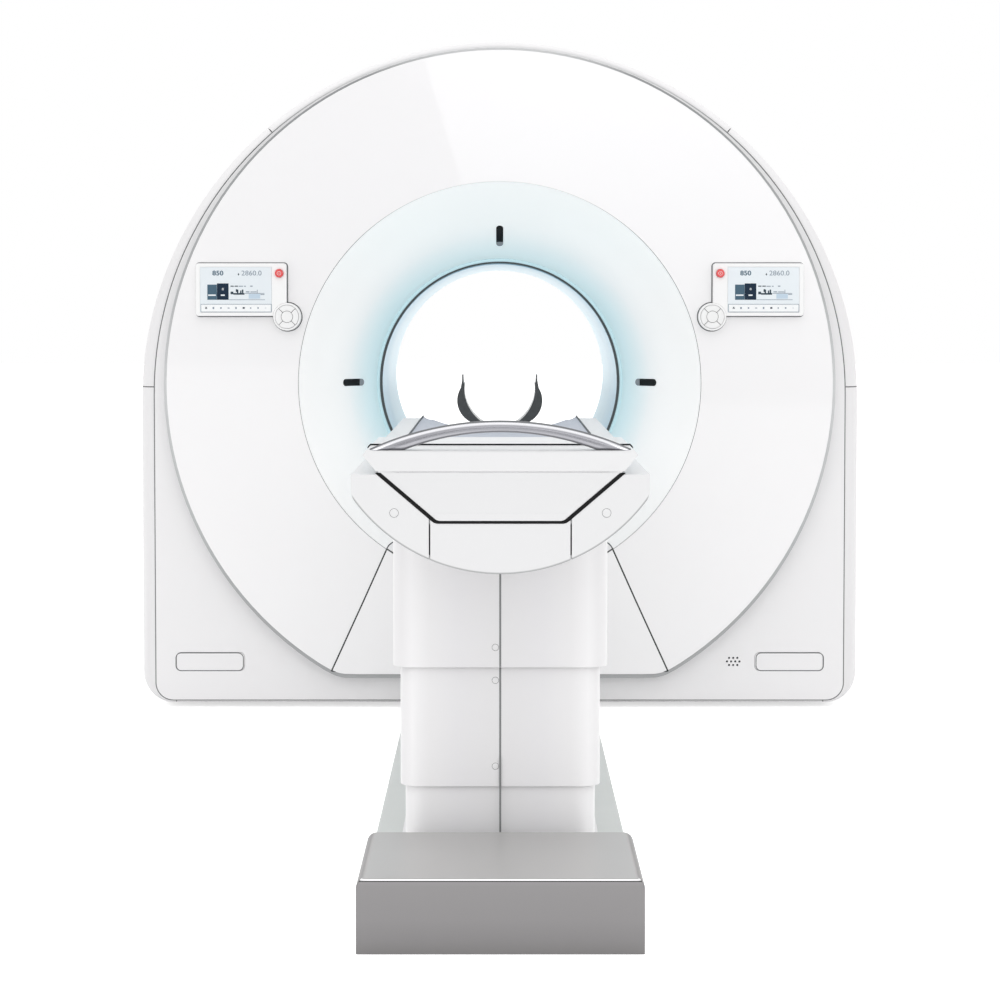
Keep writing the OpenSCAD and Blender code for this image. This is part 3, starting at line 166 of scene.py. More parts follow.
# Sprayed polyurethane paint: satin gloss, with the faint orange peel of a spray gun. The peel is
# drawn 30 mm across, because at its real 3 mm it would be finer than the render shows.
cover_paint = finish("sprayed_white_polyurethane", "f0eff0", "efeeef", 420, 0.34, 0.03, 30, 0.006,
                     Coat_Weight=0.3, Coat_Roughness=0.15)

shell_paint = finish("sprayed_white_polyurethane_shell", "f1f0f1", "f0eff0", 420, 0.45, 0.03, 30, 0.006,
                     Specular_IOR_Level=0.25)
shell_lo, shell_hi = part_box("lower_side_covers")
# Painted shade: the shells are painted a little darker below 1.3 m, and the darkening fades out by 1.9
# m.
tint(shell_paint, "eae9ea", ramp_along(shell_paint.node_tree, "Z", 1.30, 1.90, 1.0, 0.0))
panel_lo, panel_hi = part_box("front_panel")
shell_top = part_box("top_cover")[1].z
SHELL_CORNER = 0.096
PANEL_CORNER = 0.054
SWELL = 0.120
SEAM = 0.003
WALL = 0.006
EDGE_ROUND = 0.0015
SPLIT_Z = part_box("lower_side_covers")[1].z + SEAM / 2
SPLIT_ANGLE = math.radians(50)
SKIRT_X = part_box("bottom_skirt")[1].x
SKIRT_Y = 0.570


def cover_ring(bm, share, y, grow=0.003):
    """A closed line round the covers: share 0 is the panel's edge grown a little, 1 the full width."""
    half, axis, foot, corner = (a + (b - a) * share for a, b in (
        (panel_hi.x + grow, shell_hi.x), (panel_hi.z - panel_hi.x, shell_top - shell_hi.x),
        (panel_lo.z - grow, shell_lo.z), (PANEL_CORNER + grow, SHELL_CORNER)))
    turns = [math.pi * i / 96 for i in range(97)]
    line = [(half * math.cos(t), axis + half * math.sin(t)) for t in turns]
    for side, start in ((-1, math.pi), (1, 1.5 * math.pi)):
        turns = [start + math.pi / 2 * i / 12 for i in range(13)]
        line += [(side * (half - corner) + corner * math.cos(t), foot + corner + corner * math.sin(t))
                 for t in turns]
    verts = [bm.verts.new((x, y, z)) for x, z in line]
    return [bm.edges.new((verts[i - 1], verts[i])) for i in range(len(verts))]


def shell_skin():
    """The covers' whole outer skin, lofted from the front panel's edge to the rear panel's."""
    bm = bmesh.new()
    front, rear = shell_lo.y, shell_hi.y
    steps = [math.radians(9 * i) for i in range(11)]
    places = [(0, front + WALL, 0.0025), (0, front, 0.0025)]
    places += [(math.sin(t), front + SWELL * (1 - math.cos(t)), 0.005) for t in steps]
    places += [(math.sin(t), rear - SWELL * (1 - math.cos(t)), 0.005) for t in reversed(steps)]
    places += [(0, rear, 0.0025), (0, rear - WALL, 0.0025)]
    rings = [cover_ring(bm, share, y, grow) for share, y, grow in places]
    for one, other in zip(rings, rings[1:]):
        bmesh.ops.bridge_loops(bm, edges=one + other)
    bmesh.ops.recalc_face_normals(bm, faces=bm.faces)
    return bm


def keep(bm, point, normal):
    """Cuts a bmesh with a plane and keeps the side that the normal points to."""
    bmesh.ops.bisect_plane(bm, geom=bm.verts[:] + bm.edges[:] + bm.faces[:], plane_co=point,
                           plane_no=normal, clear_inner=True, dist=1e-6)


def mirrored_too(bm, scale):
    """Adds a mirrored copy of everything in a bmesh."""
    twin = bmesh.ops.duplicate(bm, geom=bm.verts[:] + bm.edges[:] + bm.faces[:])["geom"]
    bmesh.ops.scale(bm, vec=scale, verts=[g for g in twin if isinstance(g, bmesh.types.BMVert)])
    bmesh.ops.reverse_faces(bm, faces=[g for g in twin if isinstance(g, bmesh.types.BMFace)])


def cover_piece(name, skin, node):
    """Gives a skin its wall, inwards, rounds its cut edges, and puts it in a CAD node's place."""
    piece = new_piece(name, skin, "base", shell_paint)
    wall = piece.modifiers.new("wall", "SOLIDIFY")
    wall.thickness, wall.offset = WALL, -1
    rounded = piece.modifiers.new("rounded_edges", "BEVEL")
    rounded.width, rounded.segments, rounded.limit_method = EDGE_ROUND, 2, "ANGLE"
    rounded.angle_limit = math.radians(55)
    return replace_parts(piece, node)


crown = Vector((0, 0, shell_top - shell_hi.x))
right_end = Vector((-math.sin(SPLIT_ANGLE), 0, math.cos(SPLIT_ANGLE)))
left_end = Vector((math.sin(SPLIT_ANGLE), 0, math.cos(SPLIT_ANGLE)))

skin = shell_skin()
keep(skin, crown + right_end * SEAM / 2, right_end)
keep(skin, crown + left_end * SEAM / 2, left_end)
cover_piece("top_shell", skin, "top_cover")

skin = shell_skin()
keep(skin, (0, 0, SPLIT_Z + SEAM / 2), (0, 0, 1))
keep(skin, crown - right_end * SEAM / 2, -right_end)
keep(skin, (0, 0, 0), (1, 0, 0))
mirrored_too(skin, (-1, 1, 1))
cover_piece("upper_side_shells", skin, "upper_side_covers")

skin = shell_skin()
keep(skin, (0, 0, SPLIT_Z - SEAM / 2), (0, 0, -1))
keep(skin, (SKIRT_X + SEAM, 0, 0), (1, 0, 0))
mirrored_too(skin, (-1, 1, 1))
cover_piece("lower_side_shells", skin, "lower_side_covers")

skin = shell_skin()
keep(skin, (SKIRT_X, 0, 0), (-1, 0, 0))
keep(skin, (-SKIRT_X, 0, 0), (1, 0, 0))
keep(skin, (0, 0, SHELL_CORNER), (0, 0, -1))
keep(skin, (0, -SKIRT_Y, 0), (0, -1, 0))
mirrored_too(skin, (1, -1, 1))
cover_piece("skirt_strips", skin, "bottom_skirt")


# ---- Front and rear panels, access plugs and speaker ----
# Flat fibreglass panels in the same paint, seated on rings behind their edges. Two plugs close
# the openings to the levelling feet, and ten holes let the speaker behind the panel be heard.

def rounded_copy(node, edge, material, segments=2, crease=38, sharp=38, wide=None, change=None):
    """A CAD node's shape with its sharp edges rounded, which stands for the node. wide is a test
    of an edge, a radius and its segments. change alters the shape before the edges are rounded."""
    bm = bmesh.new()
    bm.from_mesh(frame["nodes"][node].data)
    bmesh.ops.remove_doubles(bm, verts=bm.verts, dist=2e-6)
    if change:
        change(bm)
    bmesh.ops.dissolve_limit(bm, angle_limit=math.radians(0.3), verts=bm.verts, edges=bm.edges)

    def corners(test=lambda e: True):
        return [e for e in bm.edges if len(e.link_faces) == 2
                and e.calc_face_angle() > math.radians(sharp) and test(e)]

    if wide:
        bmesh.ops.bevel(bm, geom=corners(wide[0]), offset=wide[1], offset_type="OFFSET",
                        segments=wide[2], profile=0.5, affect="EDGES", clamp_overlap=True, material=-1)
    bmesh.ops.bevel(bm, geom=corners(), offset=edge, offset_type="OFFSET", segments=segments,
                    profile=0.5, affect="EDGES", clamp_overlap=True, material=-1)
    bmesh.ops.remove_doubles(bm, verts=bm.verts, dist=1e-5)
    piece = new_piece(node + "_finished", bm, body_of[node], material, crease)
    flats = piece.modifiers.new("flats", "WEIGHTED_NORMAL")
    flats.keep_sharp = True
    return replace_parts(piece, node)


for node in ("front_panel", "rear_panel", "access_plugs"):
    rounded_copy(node, 0.001, cover_paint)

# Extruded grey EPDM, pressed into the gaps round the panels and the plugs.
seal_rubber = finish("grey_epdm_seal", "6b6d6e", "636566", 15, 0.6, 0.05, 1.5, 0.02)


def fill_between(bm, one, other, towards=-1):
    """Bridges two closed lines of edges with a strip of faces that points along Y."""
    faces = bmesh.ops.bridge_loops(bm, edges=one + other)["faces"]
    bmesh.ops.recalc_face_normals(bm, faces=faces)
    if sum(f.normal.y for f in faces) * towards < 0:
        bmesh.ops.reverse_faces(bm, faces=faces)


def rim_strip(bm, inner, outer):
    """Leaves only a flat strip along the outline of flat faces, from inner to outer beyond it."""
    bm.normal_update()
    old, outs, ends = bm.faces[:], {}, []
    for e in bm.edges:
        if len(e.link_faces) == 1:
            loop = e.link_loops[0]
            pair = loop.vert, loop.link_loop_next.vert
            out = (pair[1].co - pair[0].co).cross(e.link_faces[0].normal).normalized()
            ends.append(pair)
            for v in pair:
                outs.setdefault(v, []).append(out)
    near, far = ({v: bm.verts.new(v.co + reach * (o[0] + o[-1]) / (1 + o[0].dot(o[-1])))
                  for v, o in outs.items()} for reach in (inner, outer))
    for a, b in ends:
        bm.faces.new((near[b], near[a], far[a], far[b]))
    bmesh.ops.delete(bm, geom=old, context="FACES")


def rounded_line(bm, middle, size, radius, y):
    """A closed line in the form of a rounded rectangle that faces the front."""
    verts = []
    for turn, sx, sz in ((0, 1, 1), (1, -1, 1), (2, -1, -1), (3, 1, -1)):
        for i in range(9):
            t = math.pi / 2 * (turn + i / 8)
            verts.append(bm.verts.new((
                middle[0] + sx * (size[0] / 2 - radius) + radius * math.cos(t), y,
                middle[1] + sz * (size[1] / 2 - radius) + radius * math.sin(t))))
    return [bm.edges.new((verts[i - 1], verts[i])) for i in range(len(verts))]


# Painted light: the grey seal is painted almost white towards the top, from 1.75 m to 2.06 m, where
# light falls on it.
tint(seal_rubber, "f2f3f3", ramp_along(seal_rubber.node_tree, "Z", 1.75, 2.06, 0.0, 1.0))
SEAL_STAND = 0.0002
PANEL_SEAL_W = 0.0029
PLUG_SEAL_W = 0.0028
PLUG_SIZE = (0.212, 0.054)
PLUG_FLANGE = 0.006
PLUG_CORNER = 0.015
PLUG_SHIFT = 0.001
bm = bmesh.new()
for y, towards in ((panel_lo.y - SEAL_STAND, -1), (-panel_lo.y + SEAL_STAND, 1)):
    fill_between(bm, cover_ring(bm, 0, y, 0), cover_ring(bm, 0, y, PANEL_SEAL_W), towards)
plug_lo, plug_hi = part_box("access_plugs")
for side in (-1, 1):
    middle = (side * (plug_hi.x - PLUG_FLANGE - PLUG_SIZE[0] / 2 + PLUG_SHIFT),
              (plug_lo.z + plug_hi.z) / 2 - PLUG_SHIFT)
    y = panel_lo.y - SEAL_STAND
    fill_between(bm, rounded_line(bm, middle, PLUG_SIZE, PLUG_CORNER, y),
                 rounded_line(bm, middle, [v + 2 * PLUG_SEAL_W for v in PLUG_SIZE],
                              PLUG_CORNER + PLUG_SEAL_W, y))
new_piece("panel_seals", bm, "base", seal_rubber)

# Black strips of the same lie at the bottom of the seams between the shells.
black_seal = finish("black_epdm_joint", "2b2c2d", "242526", 12, 0.6, 0.05, 1.5, 0.02)
SEAL_SINK = 0.0008
bm = bmesh.new()
for point, normal, far_side in (
        (crown, right_end, (-1, 0, 0)), (crown, left_end, (1, 0, 0)),
        (Vector((0, 0, SPLIT_Z)), Vector((0, 0, 1)), None),
        (Vector((SKIRT_X + SEAM / 2, 0, 0)), Vector((1, 0, 0)), (0, 0, -1)),
        (Vector((-SKIRT_X - SEAM / 2, 0, 0)), Vector((1, 0, 0)), (0, 0, -1))):
    strip = shell_skin()
    keep(strip, point + normal * SEAM * 0.49, -normal)
    keep(strip, point - normal * SEAM * 0.49, normal)
    if far_side:
        keep(strip, (0, 0, shell_top / 2), Vector(far_side) if far_side[2] else Vector((0, 0, 1)))
        if not far_side[2]:
            keep(strip, (0, 0, 0), far_side)
    strip.normal_update()
    for v in strip.verts:
        v.co -= v.normal * SEAL_SINK
    joined = bpy.data.meshes.new("joint_seal")
    strip.to_mesh(joined)
    strip.free()
    bm.from_mesh(joined)
new_piece("cover_joint_seals", bm, "base", black_seal)

# Injection-moulded ABS, dark grey, behind the panel: only its front shows through the holes.
speaker_abs = finish("dark_abs_grille", "45494d", "3a3e42", 8, 0.55, 0.08, 1.5, 0.05)
shade(frame["nodes"]["speaker"], speaker_abs)


# ---- Round front cover, its trim, the funnel and the service cover ----
# One fibreglass disc lies on the ledge of an aluminium trim, the funnel hangs behind its inner
# edge, and the service cover below fills the cut-out of both.

bore_z = (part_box("bore_liner")[0].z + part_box("bore_liner")[1].z) / 2
trim_lo, trim_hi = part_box("disc_trim")
TRIM_W = 0.012
PLAIN_RIM = (trim_hi.x, trim_hi.z - trim_hi.x, trim_lo.z, 0.060)
FULL_RIM = (trim_hi.x + 0.0130, trim_hi.z - trim_hi.x - 0.0070, trim_lo.z - 0.0150, 0.152)
PLAIN_EDGE = (PLAIN_RIM[0] - TRIM_W, PLAIN_RIM[1], PLAIN_RIM[2] + TRIM_W, 0.054)
FULL_EDGE = (FULL_RIM[0] - 0.0085, FULL_RIM[1] + 0.0025, FULL_RIM[2] + 0.0131, 0.145)


def rim_reach(turn, radius, axis_z, cut_z, corner):
    """How far the cover's outline lies from the bore's axis in one direction: an arc with a flat
    cut across its foot, and a rounded corner at each end of the cut."""
    corner_z = cut_z + corner
    corner_x = math.sqrt((radius - corner) ** 2 - (axis_z - corner_z) ** 2)
    low, high = 0.6, 1.2
    while high - low > 1e-5:
        reach = (low + high) / 2
        x, z = abs(reach * math.cos(turn)), bore_z + reach * math.sin(turn)
        if x > corner_x and z < axis_z - (axis_z - corner_z) * x / corner_x:
            inside = math.hypot(x - corner_x, z - corner_z) < corner
        else:
            inside = math.hypot(x, z - axis_z) < radius and z > cut_z
        low, high = (reach, high) if inside else (low, reach)
    return low


def full_rim(bm):
    """Brings the front cover and its trim out to their full size, with well rounded corners. The
    trim's edges are on two circles, so it is thin at the top and wide at the foot."""
    for degrees in range(42, 74, 2):
        t = math.radians(degrees)
        for side in (-1, 1):
            bmesh.ops.bisect_plane(bm, geom=bm.verts[:] + bm.edges[:] + bm.faces[:], dist=1e-6,
                                   plane_co=(0, 0, bore_z),
                                   plane_no=(math.sin(t), 0, side * math.cos(t)))
    for v in bm.verts:
        turn = math.atan2(v.co.z - bore_z, v.co.x)
        reach, plain = math.hypot(v.co.x, v.co.z - bore_z), rim_reach(turn, *PLAIN_RIM)
        if reach > plain - 0.75 * TRIM_W:
            reach += rim_reach(turn, *FULL_RIM) - plain
        elif reach > 0.93 * plain:
            reach += rim_reach(turn, *FULL_EDGE) - rim_reach(turn, *PLAIN_EDGE)
        v.co.x, v.co.z = reach * math.cos(turn), bore_z + reach * math.sin(turn)


# The front cover's clear coat is polished, so it mirrors the studio more sharply than the sides.
disc_paint = finish("polished_white_polyurethane", "f4f3f4", "f3f2f3", 380, 0.26, 0.02, 40, 0.003,
                    Coat_Weight=1.0, Coat_Roughness=0.02)
for node in ("front_disc", "lower_service_cover"):
    rounded_copy(node, 0.0012, disc_paint, change=full_rim)

# A black strip fills the joint round the service cover.
bm = bmesh.new()
bm.from_mesh(frame["nodes"]["lower_service_cover"].data)
bmesh.ops.remove_doubles(bm, verts=bm.verts, dist=2e-6)
full_rim(bm)
cover_front = min(v.co.y for v in bm.verts)
bmesh.ops.delete(bm, geom=[f for f in bm.faces if f.calc_center_median().y > cover_front + 1e-4 or
                           f.normal.y > -0.9], context="FACES")
rim_strip(bm, -0.0010, 0.0035)
keep(bm, (0, 0, trim_lo.z + 0.006), (0, 0, 1))
bmesh.ops.translate(bm, verts=bm.verts, vec=(0, -SEAL_STAND, 0))
new_piece("service_cover_joint", bm, "base", black_seal)

# Satin anodised aluminium extrusion, bent to the disc's edge. Its tone is painted by height as painted
# light and shade: darker at the foot, palest beside the bore, darkest just below the top, and pale
# again along the top edge as a painted highlight.
trim_metal = finish("satin_anodised_trim", "aeb0b1", "a3a5a7", 60, 0.42, 0.05, 2, 0.004, Metallic=0.3)
graded(trim_metal, "Z", trim_hi.z, (
    (0, "9fa0a1"), (0.15, "a2a3a4"), (0.30, "b4b6b7"), (0.50, "c6c7c8"),
    (0.64, "a9abac"), (0.90, "8b8d8e"), (0.96, "8b8d8e"), (1, "c4c5c6")))
rounded_copy("disc_trim", 0.002, trim_metal, change=full_rim)

# The funnel's paint carries the light of the ring at its mouth, a pale cyan that fades outwards:
# painted light. The whole funnel also glows faintly as painted light, its lower part is painted darker
# as painted shade, and its upper part paler as painted light.
GLOW_FROM, GLOW_TO = 0.380, 0.515
funnel_paint = finish("white_polyurethane_lit_by_ring", "f7f7f7", "f5f6f6", 300, 0.33, 0.03, 30, 0.006,
                      Coat_Weight=0.3, Coat_Roughness=0.15, Emission_Color=linear("f8fafa"),
                      Emission_Strength=0.14)


def reach_from(tree, axis_z):
    """The distance from a line along Y in the middle plane, at a height."""
    place = add_node(tree, "ShaderNodeTexCoord").outputs["Object"]
    flat = add_node(tree, "ShaderNodeMapping", {"Location": (0, 0, -axis_z), "Scale": (1, 0, 1)},
                    {"Vector": place})
    return add_node(tree, "ShaderNodeVectorMath", (), {0: flat.outputs[0]},
                    operation="LENGTH").outputs["Value"]


def from_bore(tree, near, far, at_near, at_far):
    """A value that runs from one to another with the distance from the bore's axis."""
    return eased(tree, reach_from(tree, bore_z), near, far, at_near, at_far)


tree = funnel_paint.node_tree
tint(funnel_paint, "cdedf3", from_bore(tree, GLOW_FROM, GLOW_TO, 1.0, 0.0))
tint(funnel_paint, "e9e9e9", ramp_along(tree, "Z", bore_z - 0.60, bore_z - 0.10, 0.75, 0.0))
tint(funnel_paint, "f4ffff", ramp_along(tree, "Z", bore_z + 0.20, bore_z + 0.50, 0.0, 0.45))
rounded_copy("front_funnel", 0.001, funnel_paint, crease=40)


def facing(middle):
    """The place of a round piece whose axis runs along Y."""
    return Matrix.Translation(middle) @ Matrix.Rotation(math.pi / 2, 4, "X")


def flat_ring(bm, middle, inner, outer, segments):
    """A flat ring round a middle, that points to the front."""
    circles = []
    for radius in (inner, outer):
        ring = bmesh.ops.create_circle(bm, segments=segments, radius=radius, matrix=facing(middle))
        circles.append(list({e for v in ring["verts"] for e in v.link_edges}))
    fill_between(bm, *circles)


# A thin grey strip in the joint between the front cover and the funnel, painted paler towards the top
# as painted light. It ends where the service cover begins.
FUNNEL_JOINT = (0.6334, 0.6352)
FUNNEL_JOINT_END_Z = 0.500
joint_rubber = finish("pale_grey_joint", "8d8f90", "87898a", 12, 0.6, 0.05, 1.5, 0.02)
tint(joint_rubber, "dcdddd", ramp_along(joint_rubber.node_tree, "Z", 1.45, 1.66, 0.0, 1.0))
bm = bmesh.new()
flat_ring(bm, (0, cover_front - SEAL_STAND, bore_z), *FUNNEL_JOINT, 192)
keep(bm, (0, 0, FUNNEL_JOINT_END_Z), (0, 0, 1))
new_piece("funnel_joint", bm, "base", joint_rubber)


# ---- Bore: seal ring, light ring and liner ----
# A dark rubber-edged ring closes the mouth of a pale polycarbonate liner, and a diffuser round it
# glows pale cyan.

ring_rubber = finish("dark_moulded_seal", "3d464a", "363f43", 20, 0.5, 0.05, 1, 0.02)


def thin_above(bm):
    """Thins the ring towards its top, where the funnel's lip overlaps it."""
    reach = [math.hypot(v.co.x, v.co.z - bore_z) for v in bm.verts]
    middle = (min(reach) + max(reach)) / 2
    for v, r in zip(bm.verts, reach):
        rise = max(0, (v.co.z - bore_z) / r)
        if r < middle:
            grown = (r + 0.0030 * rise ** 2) / r
            v.co.x, v.co.z = v.co.x * grown, bore_z + (v.co.z - bore_z) * grown


rounded_copy("bore_ring", 0.0015, ring_rubber, change=thin_above)

diffuser = finish("frosted_acrylic_diffuser", "c2e4ec", "bcdfe8", 30, 0.35, 0.05, 2, 0.01,
                  Emission_Color=linear("dff4f8"), Emission_Strength=0.12)
rounded_copy("light_ring", 0.001, diffuser)

# Cast polycarbonate: the light ring tints its front, painted light that fades to white towards the
# rear, and the whole liner glows faintly as painted light.
liner_plastic = finish("pale_polycarbonate_liner", "d6e9ef", "d3e6ed", 300, 0.30, 0.03, 20, 0.005,
                       Specular_IOR_Level=0.15, Emission_Color=linear("e6f3f8"), Emission_Strength=0.05)
tint(liner_plastic, "9dcadd", ramp_along(liner_plastic.node_tree, "Y", -0.53, 0.15, 1.0, 0.0))
rounded_copy("bore_liner", 0.001, liner_plastic)
rounded_copy("rear_funnel", 0.002, cover_paint)


# ---- Laser windows ----
# Slots of smoked acrylic set in the funnel, with a grey insert at the end nearer the bore.

smoked_acrylic = finish("smoked_acrylic_window", "08090a", "0d0f10", 15, 0.2, 0.03, 4, 0.002,
                        Specular_IOR_Level=0.25)
tint(smoked_acrylic, "8d9499", from_bore(smoked_acrylic.node_tree, 0.4495, 0.4505, 1.0, 0.0))
rounded_copy("laser_windows", 0.001, smoked_acrylic)


# ---- Displays, stop buttons and keypads ----
# A moulded housing on each side of the bore holds a lit screen and a red mushroom button, and a
# round pod with four keys round a fifth overlaps its lower inner corner.

housing_abs = finish("white_abs_housing", "f8f8f8", "f6f6f6", 90, 0.35, 0.03, 3, 0.003)
rounded_copy("display_housings", 0.004, housing_abs, segments=3)
rounded_copy("keypad_pods", 0.0025, housing_abs, segments=3)


def painted_shadow_gasket(name, node, width):
    """A grey gasket that shows as a thin dark line round the foot of a housing, standing for the shadow
    there: painted shadow.
    """
    bm = bmesh.new()
    bm.from_mesh(frame["nodes"][node].data)
    bmesh.ops.remove_doubles(bm, verts=bm.verts, dist=2e-6)
    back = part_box(node)[1].y
    bmesh.ops.delete(bm, geom=[f for f in bm.faces if f.calc_center_median().y < back - 1e-4],
                     context="FACES")
    bmesh.ops.dissolve_limit(bm, angle_limit=math.radians(0.3), verts=bm.verts, edges=bm.edges)
    rim_strip(bm, -0.0005, width)
    bmesh.ops.translate(bm, verts=bm.verts, vec=(0, -0.0004, 0))
    new_piece(name, bm, "base", shadow_gasket_grey)


# Painted shadow: the grey gasket stands for the shadow round the foot of each housing and pod.
shadow_gasket_grey = finish("grey_gasket_painted_shadow", "707274", "6a6c6e", 12, 0.7, 0.05, 1.2, 0.02)
painted_shadow_gasket("display_painted_shadow_gaskets", "display_housings", 0.0034)
painted_shadow_gasket("pod_painted_shadow_gaskets", "keypad_pods", 0.0032)
screen_glass = finish("lit_screen_glass", "e4eaee", "e0e7ec", 60, 0.15, 0.02, 30, 0.001,
                      Emission_Color=linear("eef4f7"), Emission_Strength=0.05)
rounded_copy("display_screens", 0.0005, screen_glass)
key_abs = finish("white_abs_keys", "f4f4f4", "f1f1f1", 20, 0.4, 0.04, 1, 0.006)
stop_red = finish("red_glossy_button", "e8484a", "e04345", 12, 0.25, 0.03, 2, 0.003, Coat_Weight=0.5)
pale_print = finish("pale_pad_printing", "f6d9d8", "f2d2d1", 8, 0.4, 0.03, 1, 0.002)

screens_lo, screens_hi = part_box("display_screens")
SCREEN_W = 0.224
PRINT_T = 0.0004


def brick(bm, middle, size):
    """A plain box."""
    bmesh.ops.create_cube(bm, size=1, matrix=Matrix.LocRotScale(Vector(middle), None, Vector(size)))


def bar(bm, screen_x, u0, u1, v0, v1, layer=1):
    """A thin oblong on a screen, from shares of its width and height, in one of a few layers."""
    height = screens_hi.z - screens_lo.z
    brick(bm, (screen_x + (u0 + u1) / 2 * SCREEN_W, screens_lo.y - PRINT_T * (layer - 0.5),
               screens_lo.z + (v0 + v1) / 2 * height),
          ((u1 - u0) * SCREEN_W, PRINT_T, (v1 - v0) * height))


def figures(bm, text, screen_x, u0, u1, v0, v1, weight):
    """Plain digits that fill an oblong on a screen."""
    curve = bpy.data.curves.new("figures", "FONT")
    curve.body, curve.offset, curve.extrude = text, weight, 0.2
    obj = bpy.data.objects.new("figures", curve)
    bpy.context.scene.collection.objects.link(obj)
    mesh = bpy.data.meshes.new_from_object(obj.evaluated_get(bpy.context.evaluated_depsgraph_get()))
    bpy.data.objects.remove(obj)
    own = bmesh.new()
    own.from_mesh(mesh)
    lo = Vector([min(v.co[i] for v in own.verts) for i in range(3)])
    size = Vector([max(v.co[i] for v in own.verts) for i in range(3)]) - lo
    height = screens_hi.z - screens_lo.z
    for v in own.verts:
        across, up, deep = ((v.co[i] - lo[i]) / size[i] for i in range(3))
        v.co = (screen_x + (u0 + (u1 - u0) * across) * SCREEN_W, screens_lo.y - PRINT_T * deep,
                screens_lo.z + (v0 + (v1 - v0) * up) * height)
    bmesh.ops.recalc_face_normals(own, faces=own.faces)
    joined = bpy.data.meshes.new("figures")
    own.to_mesh(joined)
    own.free()
    bm.from_mesh(joined)


PRINTS = {
    "steel_blue": ("4b6678", [(0.101, 0.234, 0.275, 0.612, 1)]),
    "navy": ("14293d", [(0.236, 0.398, 0.275, 0.638, 1), (0.595, 0.623, 0.075, 0.112, 3),
                        (0.070, 0.080, 0.072, 0.095, 3), (0.076, 0.090, 0.095, 0.118, 3),
                        (0.086, 0.096, 0.072, 0.095, 3)]),
    "toolbar_line": ("5f7688", [(0.008, 0.997, 0.000, 0.180, 1)]),
    "toolbar": ("f7f9fa", [(0.014, 0.991, 0.010, 0.170, 2)]),
    "dark": ("35444f", [(0.426, 0.465, 0.398, 0.455, 1), (0.465, 0.620, 0.388, 0.424, 1),
                        (0.515, 0.535, 0.424, 0.500, 1), (0.500, 0.520, 0.450, 0.510, 1),
                        (0.560, 0.578, 0.424, 0.480, 1), (0.585, 0.605, 0.424, 0.500, 1),
                        (0.426, 0.470, 0.566, 0.588, 1), (0.482, 0.530, 0.566, 0.588, 1),
                        (0.528, 0.548, 0.830, 0.850, 1), (0.534, 0.542, 0.815, 0.865, 1)]),
    "grey": ("8793a0", [(0.174, 0.196, 0.070, 0.115, 3), (0.280, 0.300, 0.075, 0.110, 3),
                        (0.383, 0.412, 0.082, 0.100, 3), (0.491, 0.511, 0.070, 0.115, 3),
                        (0.697, 0.715, 0.078, 0.105, 3), (0.800, 0.820, 0.075, 0.110, 3),
                        (0.905, 0.925, 0.088, 0.096, 3), (0.540, 0.600, 0.566, 0.584, 1),
                        (0.615, 0.640, 0.566, 0.584, 1), (0.700, 0.735, 0.566, 0.588, 1),
                        (0.625, 0.900, 0.412, 0.424, 1), (0.640, 0.690, 0.440, 0.462, 1),
                        (0.705, 0.790, 0.440, 0.458, 1), (0.795, 0.803, 0.424, 0.500, 1),
                        (0.403, 0.907, 0.270, 0.281, 1), (0.845, 0.900, 0.385, 0.400, 1)]),
    "pale_blue": ("c3d5e4", [(0.680, 0.840, 0.300, 0.405, 1)]),
    "white": ("eef3f7", [(0.113, 0.220, 0.362, 0.392, 2), (0.290, 0.345, 0.362, 0.392, 2),
                         (0.305, 0.332, 0.500, 0.524, 2), (0.311, 0.326, 0.488, 0.536, 2)]),
}
# A dark rubber mat under the keys shows as the lines between them.
key_mat = finish("dark_silicone_key_mat", "303234", "2a2c2e", 8, 0.6, 0.05, 1, 0.01)
pods_lo, pods_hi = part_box("keypad_pods")
POD_R = (pods_hi.z - pods_lo.z) / 2
MAT_R = 0.0366
MAT_T = 0.0005
MAT_BEHIND_KEYS = 0.00185
bm = bmesh.new()
for side in (-1, 1):
    middle = (side * (pods_hi.x - POD_R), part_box("left_up_key")[1].y + MAT_BEHIND_KEYS,
              (pods_lo.z + pods_hi.z) / 2)
    bmesh.ops.create_cone(bm, cap_ends=True, segments=48, radius1=MAT_R, radius2=MAT_R, depth=MAT_T,
                          matrix=facing(middle))
new_piece("key_mats", bm, "base", key_mat)

for name, (colour, oblongs) in PRINTS.items():
    bm = bmesh.new()
    for screen_x in (screens_lo.x, screens_hi.x - SCREEN_W):
        for oblong in oblongs:
            bar(bm, screen_x, *oblong)
        if name == "steel_blue":
            figures(bm, "850", screen_x, 0.172, 0.326, 0.815, 0.922, 0.022)
        if name == "grey":
            figures(bm, "2860.0", screen_x, 0.580, 0.860, 0.815, 0.922, 0.0)
    ink = finish("screen_picture_" + name, colour, colour, 20, 0.4, 0.03, 5, 0.001,
                 Specular_IOR_Level=0.15)
    new_piece("screen_picture_" + name, bm, "base", ink)

KEY_GAP = 0.0004
STOP_RING = (0.0052, 0.0064)
STOP_BAR = (0.0014, PRINT_T, 0.005)


def drawn_in(bm):
    """Draws a key's sides in a little, so that the mat shows round it."""
    bmesh.ops.dissolve_limit(bm, angle_limit=math.radians(0.3), verts=bm.verts, edges=bm.edges)
    bm.normal_update()
    moves = {}
    for v in bm.verts:
        sides = [f.normal for f in v.link_faces if abs(f.normal.y) < 0.5]
        moves[v] = -KEY_GAP * (sides[0] + sides[-1]) / (1 + sides[0].dot(sides[-1]))
    for v, move in moves.items():
        v.co += move


